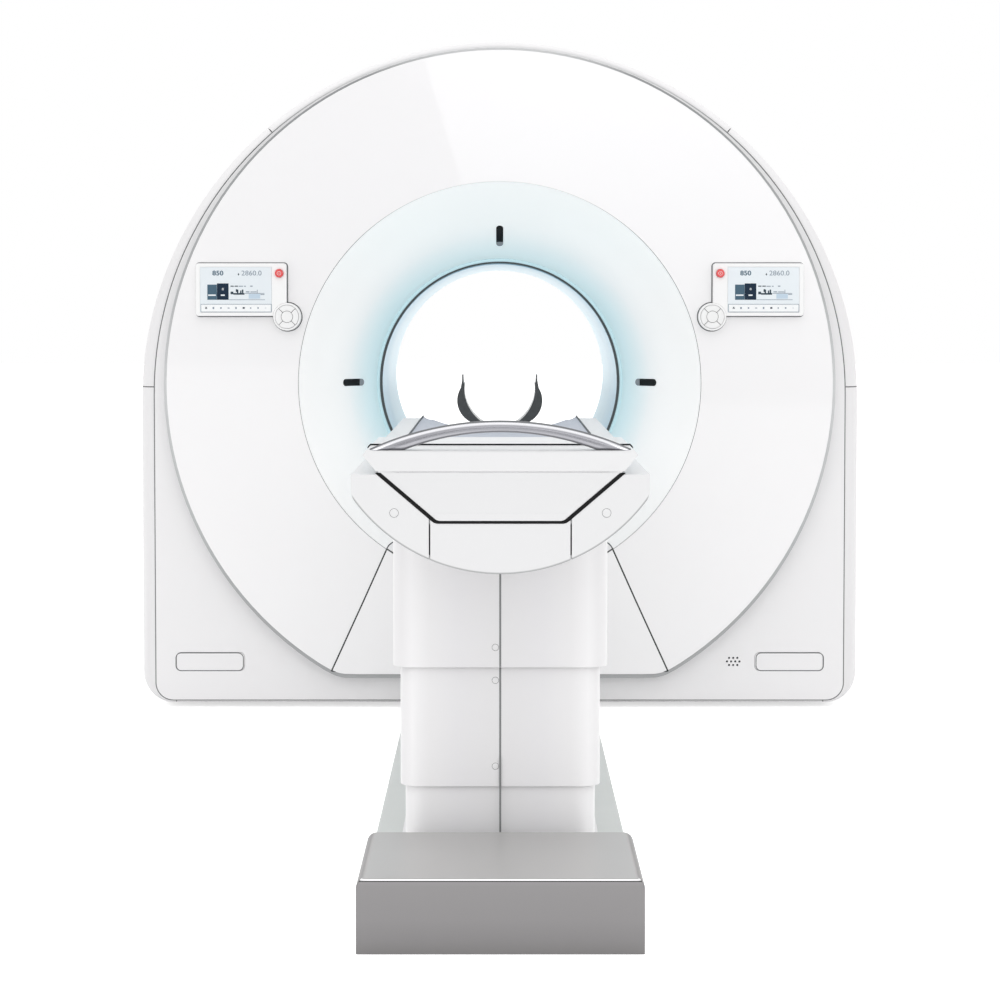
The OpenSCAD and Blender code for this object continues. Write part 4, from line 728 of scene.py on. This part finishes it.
for side in ("left", "right"):
    rounded_copy(side + "_stop_button", 0.002, stop_red, segments=3)
    lo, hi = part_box(side + "_stop_button")
    bm = bmesh.new()
    middle = Vector(((lo.x + hi.x) / 2, lo.y - PRINT_T / 2, (lo.z + hi.z) / 2))
    flat_ring(bm, middle, *STOP_RING, 32)
    brick(bm, middle, STOP_BAR)
    new_piece(side + "_stop_mark", bm, side + "_stop", pale_print)
    for key in ("up", "down", "in", "out", "centre"):
        rounded_copy(f"{side}_{key}_key", 0.001, key_abs, change=drawn_in)


# ---- Inside the gantry ----
# Powder-coated weldments carry a machined stator, a ground slewing bearing and the rotor with its
# tube, detector and supplies. The PET ring stands behind them.

coated_steel = finish("grey_powder_coated_steel", "575e63", "4e555a", 40, 0.6, 0.05, 2, 0.05)
for node in ("gantry_base_frame", "cover_frame", "pet_frame"):
    shade(frame["nodes"][node], coated_steel)
machined_casting = finish("machined_aluminium_casting", "9aa0a4", "8d9498", 25, 0.38, 0.06, 1.5, 0.02,
                          Metallic=0.9)
for node in ("ct_stator", "rotor_drum"):
    shade(frame["nodes"][node], machined_casting)
ground_steel = finish("ground_steel", "b4b8bb", "a9adb0", 30, 0.25, 0.05, 0.8, 0.004, (1, 12, 1),
                      Metallic=1.0)
for node in ("main_bearing", "pallet_rails", "lift_screw"):
    shade(frame["nodes"][node], ground_steel)
wound_copper = finish("potted_copper_winding", "a9713f", "8a5a34", 6, 0.45, 0.08, 1.2, 0.15, (1, 8, 1),
                      Metallic=0.7)
for node in ("drive_coils", "slip_ring"):
    shade(frame["nodes"][node], wound_copper)
coated_alloy = finish("satin_coated_alloy_box", "a8aeb2", "9ba2a6", 60, 0.45, 0.05, 2, 0.02,
                      Metallic=0.4)
for node in ("x_ray_tube", "high_voltage_box", "balance_box"):
    shade(frame["nodes"][node], coated_alloy)
dark_coat = finish("black_anodised_detector", "3a4146", "31383d", 30, 0.4, 0.05, 1.5, 0.02,
                   Metallic=0.3)
shade(frame["nodes"]["detector_arc"], dark_coat)
blue_coat = finish("blue_coated_module", "33435c", "2c3a51", 30, 0.45, 0.05, 1.5, 0.02)
shade(frame["nodes"]["pet_modules"], blue_coat)


# ---- Couch base and column ----
# A brushed sheet-steel cover closes the foot end of a long painted floor plate. Three nested
# covers hide the lifting tubes, the widest on top, each in two halves with a seam down the front.

# Brushed stainless steel: fine streaks along its width. It is painted darker towards the floor as
# painted shade, and its top face is painted paler as painted light.
brushed_sheet = finish("brushed_stainless_sheet", "bcbbba", "b6b5b4", 300, 0.40, 0.03, 1.2, 0.006,
                       (0.02, 1, 1), Metallic=0.55)
base_lo, base_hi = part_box("front_base_cover")
graded(brushed_sheet, "Z", base_hi.z, ((0, "706e6e"), (0.19, "797778"), (0.45, "817f80"),
                                       (0.90, "848283"), (0.985, "908e8f"), (1, "c2c1c0")))
# A painted highlight runs across the top of its front, a white band on the rounded bend, with a dark
# line of painted shade below it.
tree = brushed_sheet.node_tree
for colour, low, high, deep in (("4c4a4b", 0.952, 0.969, 0.020), ("ffffff", 0.969, 0.988, 0.010)):
    above = ramp_along(tree, "Z", low * base_hi.z, low * base_hi.z + 0.0003, 0.0, 1.0)
    below = ramp_along(tree, "Z", high * base_hi.z, high * base_hi.z + 0.0003, 1.0, 0.0)
    front = ramp_along(tree, "Y", base_lo.y + deep, base_lo.y + deep + 0.001, 1.0, 0.0)
    line = add_node(tree, "ShaderNodeMath", (), {0: above, 1: below}, operation="MULTIPLY")
    line = add_node(tree, "ShaderNodeMath", (), {0: line.outputs[0], 1: front}, operation="MULTIPLY")
    tint(brushed_sheet, colour, line.outputs[0])


def front_top(e):
    """Whether an edge runs up the sides or across the top of the base cover's front."""
    return all(abs(v.co.y - base_lo.y) < 1e-4 for v in e.verts) and max(v.co.z for v in e.verts) > 0.01


rounded_copy("front_base_cover", 0.0015, brushed_sheet, wide=(front_top, 0.0035, 4))
plate_paint = finish("pale_textured_floor_plate", "d9dddb", "d4d8d6", 120, 0.5, 0.04, 3, 0.02)
rounded_copy("floor_plate", 0.001, plate_paint)
column_paint = finish("white_column_paint", "efeeef", "edeced", 260, 0.36, 0.03, 30, 0.006)
# Painted light and shade: the covers are painted palest in a band near each side, as a painted
# highlight, and a little darker in the middle.
graded(column_paint, "X", 0.231, ((0, "eae9ea"), (0.40, "edecee"), (0.66, "f3f2f3"), (0.82, "fdfcfd"),
                                  (0.91, "f1f0f1"), (1, "f0eff0")))
for node in ("lower_column_cover", "middle_column_cover", "upper_column_cover"):
    rounded_copy(node, 0.002, column_paint)
for node in ("lift_outer_tube", "lift_middle_tube"):
    shade(frame["nodes"][node], coated_steel)

# The halves' seam is closed by a grey rubber strip, and flat screw caps stand beside it.
seam_rubber = finish("grey_seam_strip", "828485", "7a7c7d", 12, 0.6, 0.05, 1, 0.02)
SEAM_W = 0.0040
STRIP_T = 0.0006
STRIP_SHORT = 0.002
BASE_OVERLAP = 0.016
for node, foot in (("lower_column_cover", BASE_OVERLAP), ("middle_column_cover", 0),
                   ("upper_column_cover", 0)):
    lo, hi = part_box(node)
    bm = bmesh.new()
    brick(bm, (0, lo.y - STRIP_T / 4, (lo.z + foot + hi.z) / 2),
          (SEAM_W, STRIP_T, hi.z - lo.z - foot - STRIP_SHORT))
    new_piece(node + "_seam", bm, body_of[node], seam_rubber)


def screw_caps(name, node, places, radius, material):
    """Flat round caps that face the front, each with a bevelled rim in a thin dark gap."""
    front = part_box(node)[0].y
    caps, gaps = bmesh.new(), bmesh.new()
    for x, z in places:
        made = bmesh.ops.create_cone(caps, cap_ends=True, segments=32, radius1=radius, radius2=radius,
                                     depth=2 * CAP_STAND, matrix=facing((x, front, z)))["verts"]
        rim = {e for v in made for e in v.link_edges if e.calc_face_angle(0) > 1 and
               all(w.co.y < front for w in e.verts)}
        bmesh.ops.bevel(caps, geom=list(rim), offset=0.9 * CAP_STAND, segments=3, profile=0.5,
                        affect="EDGES", material=-1)
        flat_ring(gaps, (x, front - SEAL_STAND, z), radius - CAP_LAP, radius + CAP_GAP, 32)
    new_piece(name, caps, body_of[node], material)
    new_piece(name + "_gaps", gaps, body_of[node], seal_rubber)


CAP_STAND = 0.0011
CAP_GAP = 0.0007
CAP_LAP = 0.0002
COLUMN_CAP_R = 0.0068
COLUMN_CAP_X = -0.0105
for level, heights in (("upper", (0.537,)), ("middle", (0.464, 0.278))):
    screw_caps(level + "_column_caps", level + "_column_cover", [(COLUMN_CAP_X, z) for z in heights],
               COLUMN_CAP_R, column_paint)


# ---- Couch beam ----
# A deep trough with a round belly, folded and welded from sheet and painted. Its front is closed
# by three moulded covers, whose outer edge is well rounded and whose screws are capped.

beam_paint = finish("white_beam_paint", "e9e9ea", "e7e7e8", 300, 0.33, 0.03, 30, 0.006, Coat_Weight=0.1)
beam_lo, beam_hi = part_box("beam_front_cover")
BELLY_R = 0.365
BEAM_CORNER_R = 0.020


def on_belly(e):
    """Whether an edge lies on the outer outline of the beam's front covers."""
    return all(abs(v.co.y - beam_lo.y) < 1e-4 and (abs(abs(v.co.x) - beam_hi.x) < 1e-4 or
               abs(math.hypot(v.co.x, v.co.z - beam_lo.z - BELLY_R) - BELLY_R) < 4e-3) for v in e.verts)


CORNER_Z = beam_lo.z + BELLY_R - math.sqrt(BELLY_R ** 2 - beam_hi.x ** 2)


def soft_corner(bm):
    """Rounds the corner between the beam's sides and its belly."""
    bmesh.ops.dissolve_limit(bm, angle_limit=math.radians(0.3), verts=bm.verts, edges=bm.edges)
    corner = [e for e in bm.edges if all(abs(abs(v.co.x) - beam_hi.x) < 1e-4 and
                                         abs(v.co.z - CORNER_Z) < 2e-3 for v in e.verts)]
    bmesh.ops.bevel(bm, geom=corner, offset=BEAM_CORNER_R, offset_type="OFFSET", segments=6,
                    profile=0.5, affect="EDGES", clamp_overlap=True, material=-1)


rounded_copy("couch_beam", 0.002, beam_paint, change=soft_corner)
rim_paint = finish("painted_fibreglass_beam_rim", "e9e9ea", "e7e7e8", 320, 0.34, 0.03, 30, 0.006)
# Painted shade: the covers' rounded outer edge along the belly is painted grey.
RIM_FROM, RIM_TO = 0.0046, 0.0010
tree = rim_paint.node_tree
tint(rim_paint, "a8a9aa", eased(tree, reach_from(tree, beam_lo.z + BELLY_R), BELLY_R - RIM_FROM,
                                BELLY_R - RIM_TO))
rounded_copy("beam_front_cover", 0.001, rim_paint, wide=(on_belly, 0.006, 4), change=soft_corner)
CHEEK_CAP_R = 0.0085
CHEEK_CAP_X, CHEEK_CAP_Z = 0.213, 0.852
screw_caps("beam_front_caps", "beam_front_cover",
           [(-CHEEK_CAP_X, CHEEK_CAP_Z), (CHEEK_CAP_X, CHEEK_CAP_Z)], CHEEK_CAP_R, beam_paint)


# ---- Carriage and board ----
# The carriage runs on two rails in the beam, and its moulded front slopes back above a crease. The
# long carbon sandwich board behind it is hollowed for the patient.

gel_coat = finish("white_gel_coat", "e8e8e9", "e6e6e7", 250, 0.32, 0.03, 25, 0.004, Coat_Weight=0.1)
pallet_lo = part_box("pallet")[0]
CREASE_Z = 0.934
CREASE_HALF = 0.0018
CREASE_DEPTH = 0.0035
FRONT_SLOPE = 0.13


def creased_front(bm):
    """Presses the crease into the carriage's front and tilts the part above it back."""
    for z in (CREASE_Z - CREASE_HALF, CREASE_Z, CREASE_Z + CREASE_HALF):
        bmesh.ops.bisect_plane(bm, geom=bm.verts[:] + bm.edges[:] + bm.faces[:], plane_co=(0, 0, z),
                               plane_no=(0, 0, 1), dist=1e-6)
    for v in bm.verts:
        if abs(v.co.y - pallet_lo.y) < 1e-4:
            if abs(v.co.z - CREASE_Z) < 1e-4:
                v.co.y += CREASE_DEPTH
            elif v.co.z > CREASE_Z + CREASE_HALF / 2:
                v.co.y += (v.co.z - CREASE_Z) * FRONT_SLOPE


def front_brow(e):
    """Whether an edge runs along the top of the carriage's front."""
    return all(v.co.y < pallet_lo.y + 0.008 and v.co.z > CREASE_Z + 0.02 for v in e.verts)


rounded_copy("pallet", 0.0015, gel_coat, wide=(front_brow, 0.0055, 4), change=creased_front)

# Black EPDM edging: one strip closes the gap between the carriage and the trough, held by the beam. A
# black lip crosses the carriage's top and stands for the shadow in the gap under the board's front end:
# painted shadow.
black_edging_and_painted_shadow = finish("black_epdm_edging_and_painted_shadow", "101011", "161617", 10, 0.6, 0.06, 1, 0.02,
                      Specular_IOR_Level=0.15)
TROUGH_FOOT_X, TROUGH_FOOT_Z = 0.132, 0.831
TROUGH_RUN, TROUGH_RISE = 0.115, 0.098
EDGING_T = 0.0006
EDGING_DEPTH = 0.012
EDGING_Y = pallet_lo.y - 0.0002


def trough_line(inset_side, inset_foot, radius=0.020, top=0.9325):
    """The carriage's lower outline, set in from the trough's, as points from left to right."""
    slope = math.hypot(TROUGH_RUN, TROUGH_RISE) / TROUGH_RISE
    half_foot = TROUGH_FOOT_X - inset_side * slope + inset_foot * TROUGH_RUN / TROUGH_RISE
    foot = TROUGH_FOOT_Z + inset_foot
    half_top = half_foot + (top - foot) * TROUGH_RUN / TROUGH_RISE
    lean = math.atan2(TROUGH_RISE, TROUGH_RUN)
    reach = radius * math.tan(lean / 2)
    left = [(-half_top, top)]
    for i in range(9):
        t = lean * (1 - i / 8)
        left.append((-half_foot + reach - radius * math.sin(t), foot + radius * (1 - math.cos(t))))
    return left + [(-x, z) for x, z in reversed(left)]


def strip_along(bm, one, other, y0, y1):
    """A closed strip with the section between two equal lines of points, from one Y to another."""
    ring = one + other[::-1]
    front = [bm.verts.new((x, y0, z)) for x, z in ring]
    n = len(one)
    faces = [bm.faces.new((front[i], front[i + 1], front[2 * n - 2 - i], front[2 * n - 1 - i]))
             for i in range(n - 1)]
    deep = bmesh.ops.extrude_face_region(bm, geom=faces)["geom"]
    bmesh.ops.translate(bm, vec=(0, y1 - y0, 0),
                        verts=[g for g in deep if isinstance(g, bmesh.types.BMVert)])
    bmesh.ops.recalc_face_normals(bm, faces=bm.faces)


bm = bmesh.new()
strip_along(bm, trough_line(0.0074, 0.0052, 0.018), trough_line(-0.0004, -0.0006, 0.022),
            EDGING_Y - EDGING_T, EDGING_Y)
strip_along(bm, trough_line(0.0044, 0.0044, 0.018), trough_line(0.0004, 0.0004, 0.022),
            EDGING_Y, EDGING_Y + EDGING_DEPTH)
new_piece("trough_edging", bm, body_of["couch_beam"], black_edging_and_painted_shadow)

# A white sill stands across the carriage's foot, in front of the ends of its rail grooves.
SILL = (0.262, 0.0004, 0.0150)
SILL_STAND = 0.0002
sill_plastic = finish("white_moulded_sill", "e9e9ea", "e7e7e8", 320, 0.34, 0.03, 30, 0.006)
bm = bmesh.new()
brick(bm, (0, pallet_lo.y - SILL[1] / 2 - SILL_STAND, pallet_lo.z + SILL[2] / 2), SILL)
new_piece("rail_sill", bm, body_of["couch_beam"], sill_plastic)

# Painted shadow: the black lip stands where the shadowed gap under the board's front end shows.
LIP_Y = pallet_lo.y + 0.220
LIP_STAND = 0.0032
LIP_START, LIP_END = 0.0005, 0.0045
CARRIAGE_TOP = 0.9770
UNDER_LIP = [(0.2752, 0.9700), (0.2735, 0.9735), (0.2700, CARRIAGE_TOP)]
OVER_LIP = [(0.2778, 0.9712), (0.2755, 0.9758), (0.2712, CARRIAGE_TOP + LIP_STAND)]
bm = bmesh.new()
over, under = ([(-x, z) for x, z in half] + half[::-1] for half in (OVER_LIP, UNDER_LIP))
strip_along(bm, over, under, LIP_Y + LIP_START, LIP_Y + LIP_END)
new_piece("carriage_painted_shadow_lip", bm, "pallet", black_edging_and_painted_shadow)


# ---- Pad ----
# A foam mattress in grey-blue coated cloth, sewn with a dark welt along both long edges. It lies in
# the board's hollow.

pad_cloth = finish("grey_blue_coated_cloth", "b8beca", "b3b9c6", 60, 0.6, 0.05, 3, 0.15,
                   Sheen_Weight=0.2)
pad_lo, pad_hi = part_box("pallet_pad")
PAD_AXIS_Z = 1.484
PAD_TOP_R = 0.588
PAD_OUTER_R = 0.6127
bm = bmesh.new()
bm.from_mesh(frame["nodes"]["pallet_pad"].data)
bmesh.ops.remove_doubles(bm, verts=bm.verts, dist=2e-6)
bmesh.ops.dissolve_limit(bm, angle_limit=math.radians(0.3), verts=bm.verts, edges=bm.edges)
pad = new_piece("pad", bm, "pallet", pad_cloth)
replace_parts(pad, "pallet_pad")


def shape_of(obj):
    """The mesh of an object with its modifiers worked out."""
    return bpy.data.meshes.new_from_object(obj.evaluated_get(bpy.context.evaluated_depsgraph_get()))


SHRINK = 0.0012
MOST_SWELL = 0.005
SEWN_EDGE = 0.030
CLOTH_PRESSURE = 4
CLOTH_STEPS = 20
remesh = pad.modifiers.new("even_mesh", "REMESH")
remesh.mode, remesh.octree_depth, remesh.scale, remesh.use_smooth_shade = "SHARP", 8, 0.99, True
even = shape_of(pad)
pad.modifiers.clear()
pad.data = even
sewn = [v.co.copy() for v in even.vertices]
start = [v.co - v.normal * SHRINK for v in even.vertices]
for v, co in zip(even.vertices, start):
    v.co = co
cloth = pad.modifiers.new("cloth", "CLOTH")
cloth.settings.use_pressure = True
cloth.settings.uniform_pressure_force = CLOTH_PRESSURE
cloth.settings.effector_weights.gravity = 0
for step in range(1, CLOTH_STEPS + 1):
    bpy.context.scene.frame_set(step)
swollen = shape_of(pad)
pad.modifiers.clear()
bpy.context.scene.frame_set(1)
for v, co, held, new in zip(even.vertices, start, sewn, swollen.vertices):
    move = new.co - co
    if move.length > MOST_SWELL:
        move *= MOST_SWELL / move.length
    free = min(1, (pad_hi.x - abs(held.x)) / SEWN_EDGE)
    v.co = held.lerp(co + move, max(0, free))
    out = Vector((v.co.x, 0, v.co.z - PAD_AXIS_Z))
    if out.length > PAD_OUTER_R:
        v.co.x = out.x * PAD_OUTER_R / out.length
        v.co.z = PAD_AXIS_Z + out.z * PAD_OUTER_R / out.length
    v.co.y = min(max(v.co.y, pad_lo.y), pad_hi.y)
    v.co.x = min(max(v.co.x, pad_lo.x), pad_hi.x)
shade(pad, pad_cloth, 180)
finer = pad.modifiers.new("finer", "SUBSURF")
finer.levels = finer.render_levels = 1

welt_cloth = finish("dark_welt_cord", "3b4046", "33383e", 10, 0.55, 0.05, 1, 0.03)
WELT_R = 0.0026
WELT_SHORT = 0.004
bm = bmesh.new()
for side in (-1, 1):
    x = side * (pad_hi.x - WELT_R)
    z = PAD_AXIS_Z - math.sqrt(PAD_TOP_R ** 2 - x ** 2)
    bmesh.ops.create_cone(bm, cap_ends=True, segments=16, radius1=WELT_R, radius2=WELT_R,
                          depth=pad_hi.y - pad_lo.y - WELT_SHORT,
                          matrix=facing((x, (pad_lo.y + pad_hi.y) / 2, z)))
new_piece("pad_welts", bm, "pallet", welt_cloth, crease=50)


# ---- Grab handle ----
# A crescent of satin anodised aluminium across the carriage's foot, thickest at the middle, with a
# dark moulded backing behind it. Screws from below hold both.

satin_alloy = finish("satin_anodised_handle", "a6a6ab", "9e9ea3", 80, 0.24, 0.03, 1.5, 0.003,
                     Metallic=0.95)
dark_backing = finish("dark_moulded_backing", "77797c", "6e7073", 30, 0.5, 0.05, 1.5, 0.01)
handle_lo, handle_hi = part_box("grab_handle")
HANDLE_RISE = handle_hi.z - handle_lo.z
OUTER_R = (handle_hi.x ** 2 + HANDLE_RISE ** 2) / (2 * HANDLE_RISE)
INNER_R = 0.545
INNER_TOP = 1.013
METAL_DEPTH = 0.028
BACKING_STAND = 0.0026
# A painted highlight lies in a band along its upper edge, and a band of painted shade darkens it below
# that.
HIGHLIGHT_AND_SHADE_BANDS = (("f4f4f8", 0.0072, 0.0034), ("8c8c91", 0.0170, 0.0088))
BAND_BLUR = 0.0012
tree = satin_alloy.node_tree
arc = reach_from(tree, handle_hi.z - OUTER_R)
for colour, low, high in HIGHLIGHT_AND_SHADE_BANDS:
    low, high = OUTER_R - low, OUTER_R - high
    inner = eased(tree, arc, low - BAND_BLUR, low + BAND_BLUR)
    outer = eased(tree, arc, high + BAND_BLUR, high - BAND_BLUR)
    band = add_node(tree, "ShaderNodeMath", (), {0: inner, 1: outer}, operation="MULTIPLY")
    tint(satin_alloy, colour, band.outputs[0])


def crescent(bm, y0, y1, drop, corner):
    """A crescent between the handle's two arcs, drop below the outer, with rounded sections."""
    reach = handle_hi.x - (0.010 if drop else 0.004)
    rings = []
    for i in range(65):
        x = -reach * math.cos(math.pi * i / 64)
        top = handle_hi.z - OUTER_R + math.sqrt(OUTER_R ** 2 - x ** 2) - drop
        foot = max(handle_lo.z, INNER_TOP - INNER_R + math.sqrt(INNER_R ** 2 - x ** 2))
        half_h, half_d = max(top - foot, 0.0008) / 2, (y1 - y0) / 2
        r = min(corner, half_h * 0.98)
        ring = []
        for turn, sy, sz in ((0, 1, 1), (1, -1, 1), (2, -1, -1), (3, 1, -1)):
            for k in range(6):
                t = math.pi / 2 * (turn + k / 5)
                ring.append(bm.verts.new((x, (y0 + y1) / 2 + sy * (half_d - r) + r * math.cos(t),
                                          (top + foot) / 2 + sz * (half_h - r) + r * math.sin(t))))
        rings.append([bm.edges.new((ring[k - 1], ring[k])) for k in range(len(ring))])
    for one, other in zip(rings, rings[1:]):
        bmesh.ops.bridge_loops(bm, edges=one + other)
    for end in (rings[0], rings[-1]):
        bmesh.ops.contextual_create(bm, geom=end)
    bmesh.ops.remove_doubles(bm, verts=bm.verts, dist=1e-6)
    bmesh.ops.recalc_face_normals(bm, faces=bm.faces)


bm = bmesh.new()
crescent(bm, handle_lo.y, handle_lo.y + METAL_DEPTH, BACKING_STAND, 0.0095)
metal = new_piece("handle_metal", bm, "pallet", satin_alloy, crease=60)
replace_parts(metal, "grab_handle")
bm = bmesh.new()
crescent(bm, handle_lo.y + METAL_DEPTH, handle_hi.y, 0, 0.003)
new_piece("handle_backing", bm, "pallet", dark_backing, crease=60)


# ---- Head holder ----
# Two horns and their floor, laid up in carbon fibre and lacquered. It stands on the bare end of
# the board.

carbon_laminate = finish("carbon_fibre_laminate", "2f3536", "22282a", 12, 0.35, 0.05, 3, 0.02,
                         Coat_Weight=0.6, Coat_Roughness=0.1)
CLOSEST_POINTS = 0.0019


def joined_points(bm):
    """Joins points closer than the rounding needs."""
    bmesh.ops.remove_doubles(bm, verts=bm.verts, dist=CLOSEST_POINTS)


rounded_copy("head_holder", 0.0012, carbon_laminate, change=joined_points)


# ---- Studio ----
# A white floor and backdrop, soft light from all round, and a long lens at the couch's foot end.

def seen_directly(tree):
    """1 for rays that show the background itself: straight, mirrored or through glass."""
    path = add_node(tree, "ShaderNodeLightPath")
    two = add_node(tree, "ShaderNodeMath", (), {0: path.outputs["Is Camera Ray"],
                                                1: path.outputs["Is Glossy Ray"]}, operation="ADD")
    return add_node(tree, "ShaderNodeMath", (), {0: two.outputs[0],
                                                 1: path.outputs["Is Transmission Ray"]},
                    operation="ADD", use_clamp=True).outputs[0]


world = bpy.data.worlds.new("studio")
bpy.context.scene.world = world
world.use_nodes = True
tree = world.node_tree
sky = tree.nodes["Background"]
sky.inputs["Color"].default_value = (1, 1, 1, 1)
level = add_node(tree, "ShaderNodeMapRange", {"To Min": 0.95, "To Max": 1.0},
                 {"Value": seen_directly(tree)})
tree.links.new(level.outputs[0], sky.inputs["Strength"])


def studio_sheet(name, size, place, material):
    """A flat sheet of the studio, that isn't part of the object."""
    bm = bmesh.new()
    bmesh.ops.create_grid(bm, x_segments=1, y_segments=1, size=0.5,
                          matrix=place @ Matrix.Diagonal((*size, 1, 1)))
    mesh = bpy.data.meshes.new(name)
    bm.to_mesh(mesh)
    bm.free()
    obj = bpy.data.objects.new(name, mesh)
    bpy.context.scene.collection.objects.link(obj)
    mesh.materials.append(material)
    return obj


floor_paint = bpy.data.materials.new("matt_white_floor")
floor_paint.use_nodes = True
tree = floor_paint.node_tree
shader = tree.nodes["Principled BSDF"]
shader.inputs["Base Color"].default_value = (0.92, 0.92, 0.92, 1)
shader.inputs["Roughness"].default_value = 0.9
shader.inputs["Emission Color"].default_value = (1, 1, 1, 1)
lift = add_node(tree, "ShaderNodeMath", {1: 0.62}, {0: seen_directly(tree)}, operation="MULTIPLY")
tree.links.new(lift.outputs[0], shader.inputs["Emission Strength"])
studio_sheet("studio_floor", (120, 120), Matrix.Identity(4), floor_paint)


def soft_sun(name, azimuth, height, spread, strength):
    """A far and broad lamp, as a large softbox a long way off: the same level on every piece."""
    light = bpy.data.lights.new(name, "SUN")
    light.angle, light.energy = math.radians(spread), strength
    obj = bpy.data.objects.new(name, light)
    obj.rotation_euler = (math.radians(90 - height), 0, math.radians(azimuth))
    obj.location = (4 * math.sin(math.radians(azimuth)), -4 * math.cos(math.radians(azimuth)), 6)
    bpy.context.scene.collection.objects.link(obj)
    return obj


soft_sun("left_key", -14, 34, 60, 0.20)
soft_sun("right_fill", 16, 30, 60, 0.15)
soft_sun("rear_fill", 180, 45, 60, 0.20)

# A bright card behind the camera, seen only in polished surfaces. Its slanted edge lies where the
# front cover mirrors it from the upper left of the bore to the cover's rim.
card_glow = bpy.data.materials.new("reflector_card")
card_glow.use_nodes = True
tree = card_glow.node_tree
tree.nodes.remove(tree.nodes["Principled BSDF"])
fade = add_node(tree, "ShaderNodeMapRange",
                {"From Min": 0.6, "From Max": 3.6, "To Min": 1.0, "To Max": 2.9},
                {"Value": along(tree, "Z")})
glow = add_node(tree, "ShaderNodeEmission", (), {"Strength": fade.outputs[0]})
tree.links.new(glow.outputs[0], tree.nodes["Material Output"].inputs["Surface"])


def reflector(name, y, corners, material):
    """A card that only polished surfaces show."""
    bm = bmesh.new()
    bm.faces.new([bm.verts.new((x, y, z)) for x, z in corners])
    mesh = bpy.data.meshes.new(name)
    bm.to_mesh(mesh)
    bm.free()
    mesh.materials.append(material)
    card = bpy.data.objects.new(name, mesh)
    bpy.context.scene.collection.objects.link(card)
    card.visible_camera = card.visible_diffuse = card.visible_shadow = card.visible_transmission = False


BRIGHT_CARD = [(-0.78, 3.9), (3.0, 3.9), (3.0, 0.6), (0.215, 0.6)]
reflector("reflector_card", -12.0, BRIGHT_CARD, card_glow)

# A grey card low behind the camera gives the handle's face its darker tone.
grey_card = bpy.data.materials.new("grey_card")
grey_card.use_nodes = True
tree = grey_card.node_tree
tree.nodes.remove(tree.nodes["Principled BSDF"])
glow = add_node(tree, "ShaderNodeEmission", {"Color": (0.30, 0.30, 0.31, 1), "Strength": 1.0})
tree.links.new(glow.outputs[0], tree.nodes["Material Output"].inputs["Surface"])
DARK_CARD = [(-1.1, 0.30), (1.1, 0.30), (1.1, 0.82), (-1.1, 0.82)]
reflector("grey_card", -11.6, DARK_CARD, grey_card)

camera = bpy.data.cameras.new("lens")
camera.lens, camera.sensor_width, camera.shift_x, camera.shift_y = 94.07, 36, 0.0014, -0.06
camera.clip_end = 200
eye = bpy.data.objects.new("camera", camera)
eye.location = (-0.0035, -9.0129, 1.2442)
eye.rotation_euler = (math.radians(90 - 2.694), 0, 0)
bpy.context.scene.collection.objects.link(eye)
bpy.context.scene.camera = eye
bpy.context.scene.view_settings.view_transform = "Standard"

bpy.context.view_layer.update()
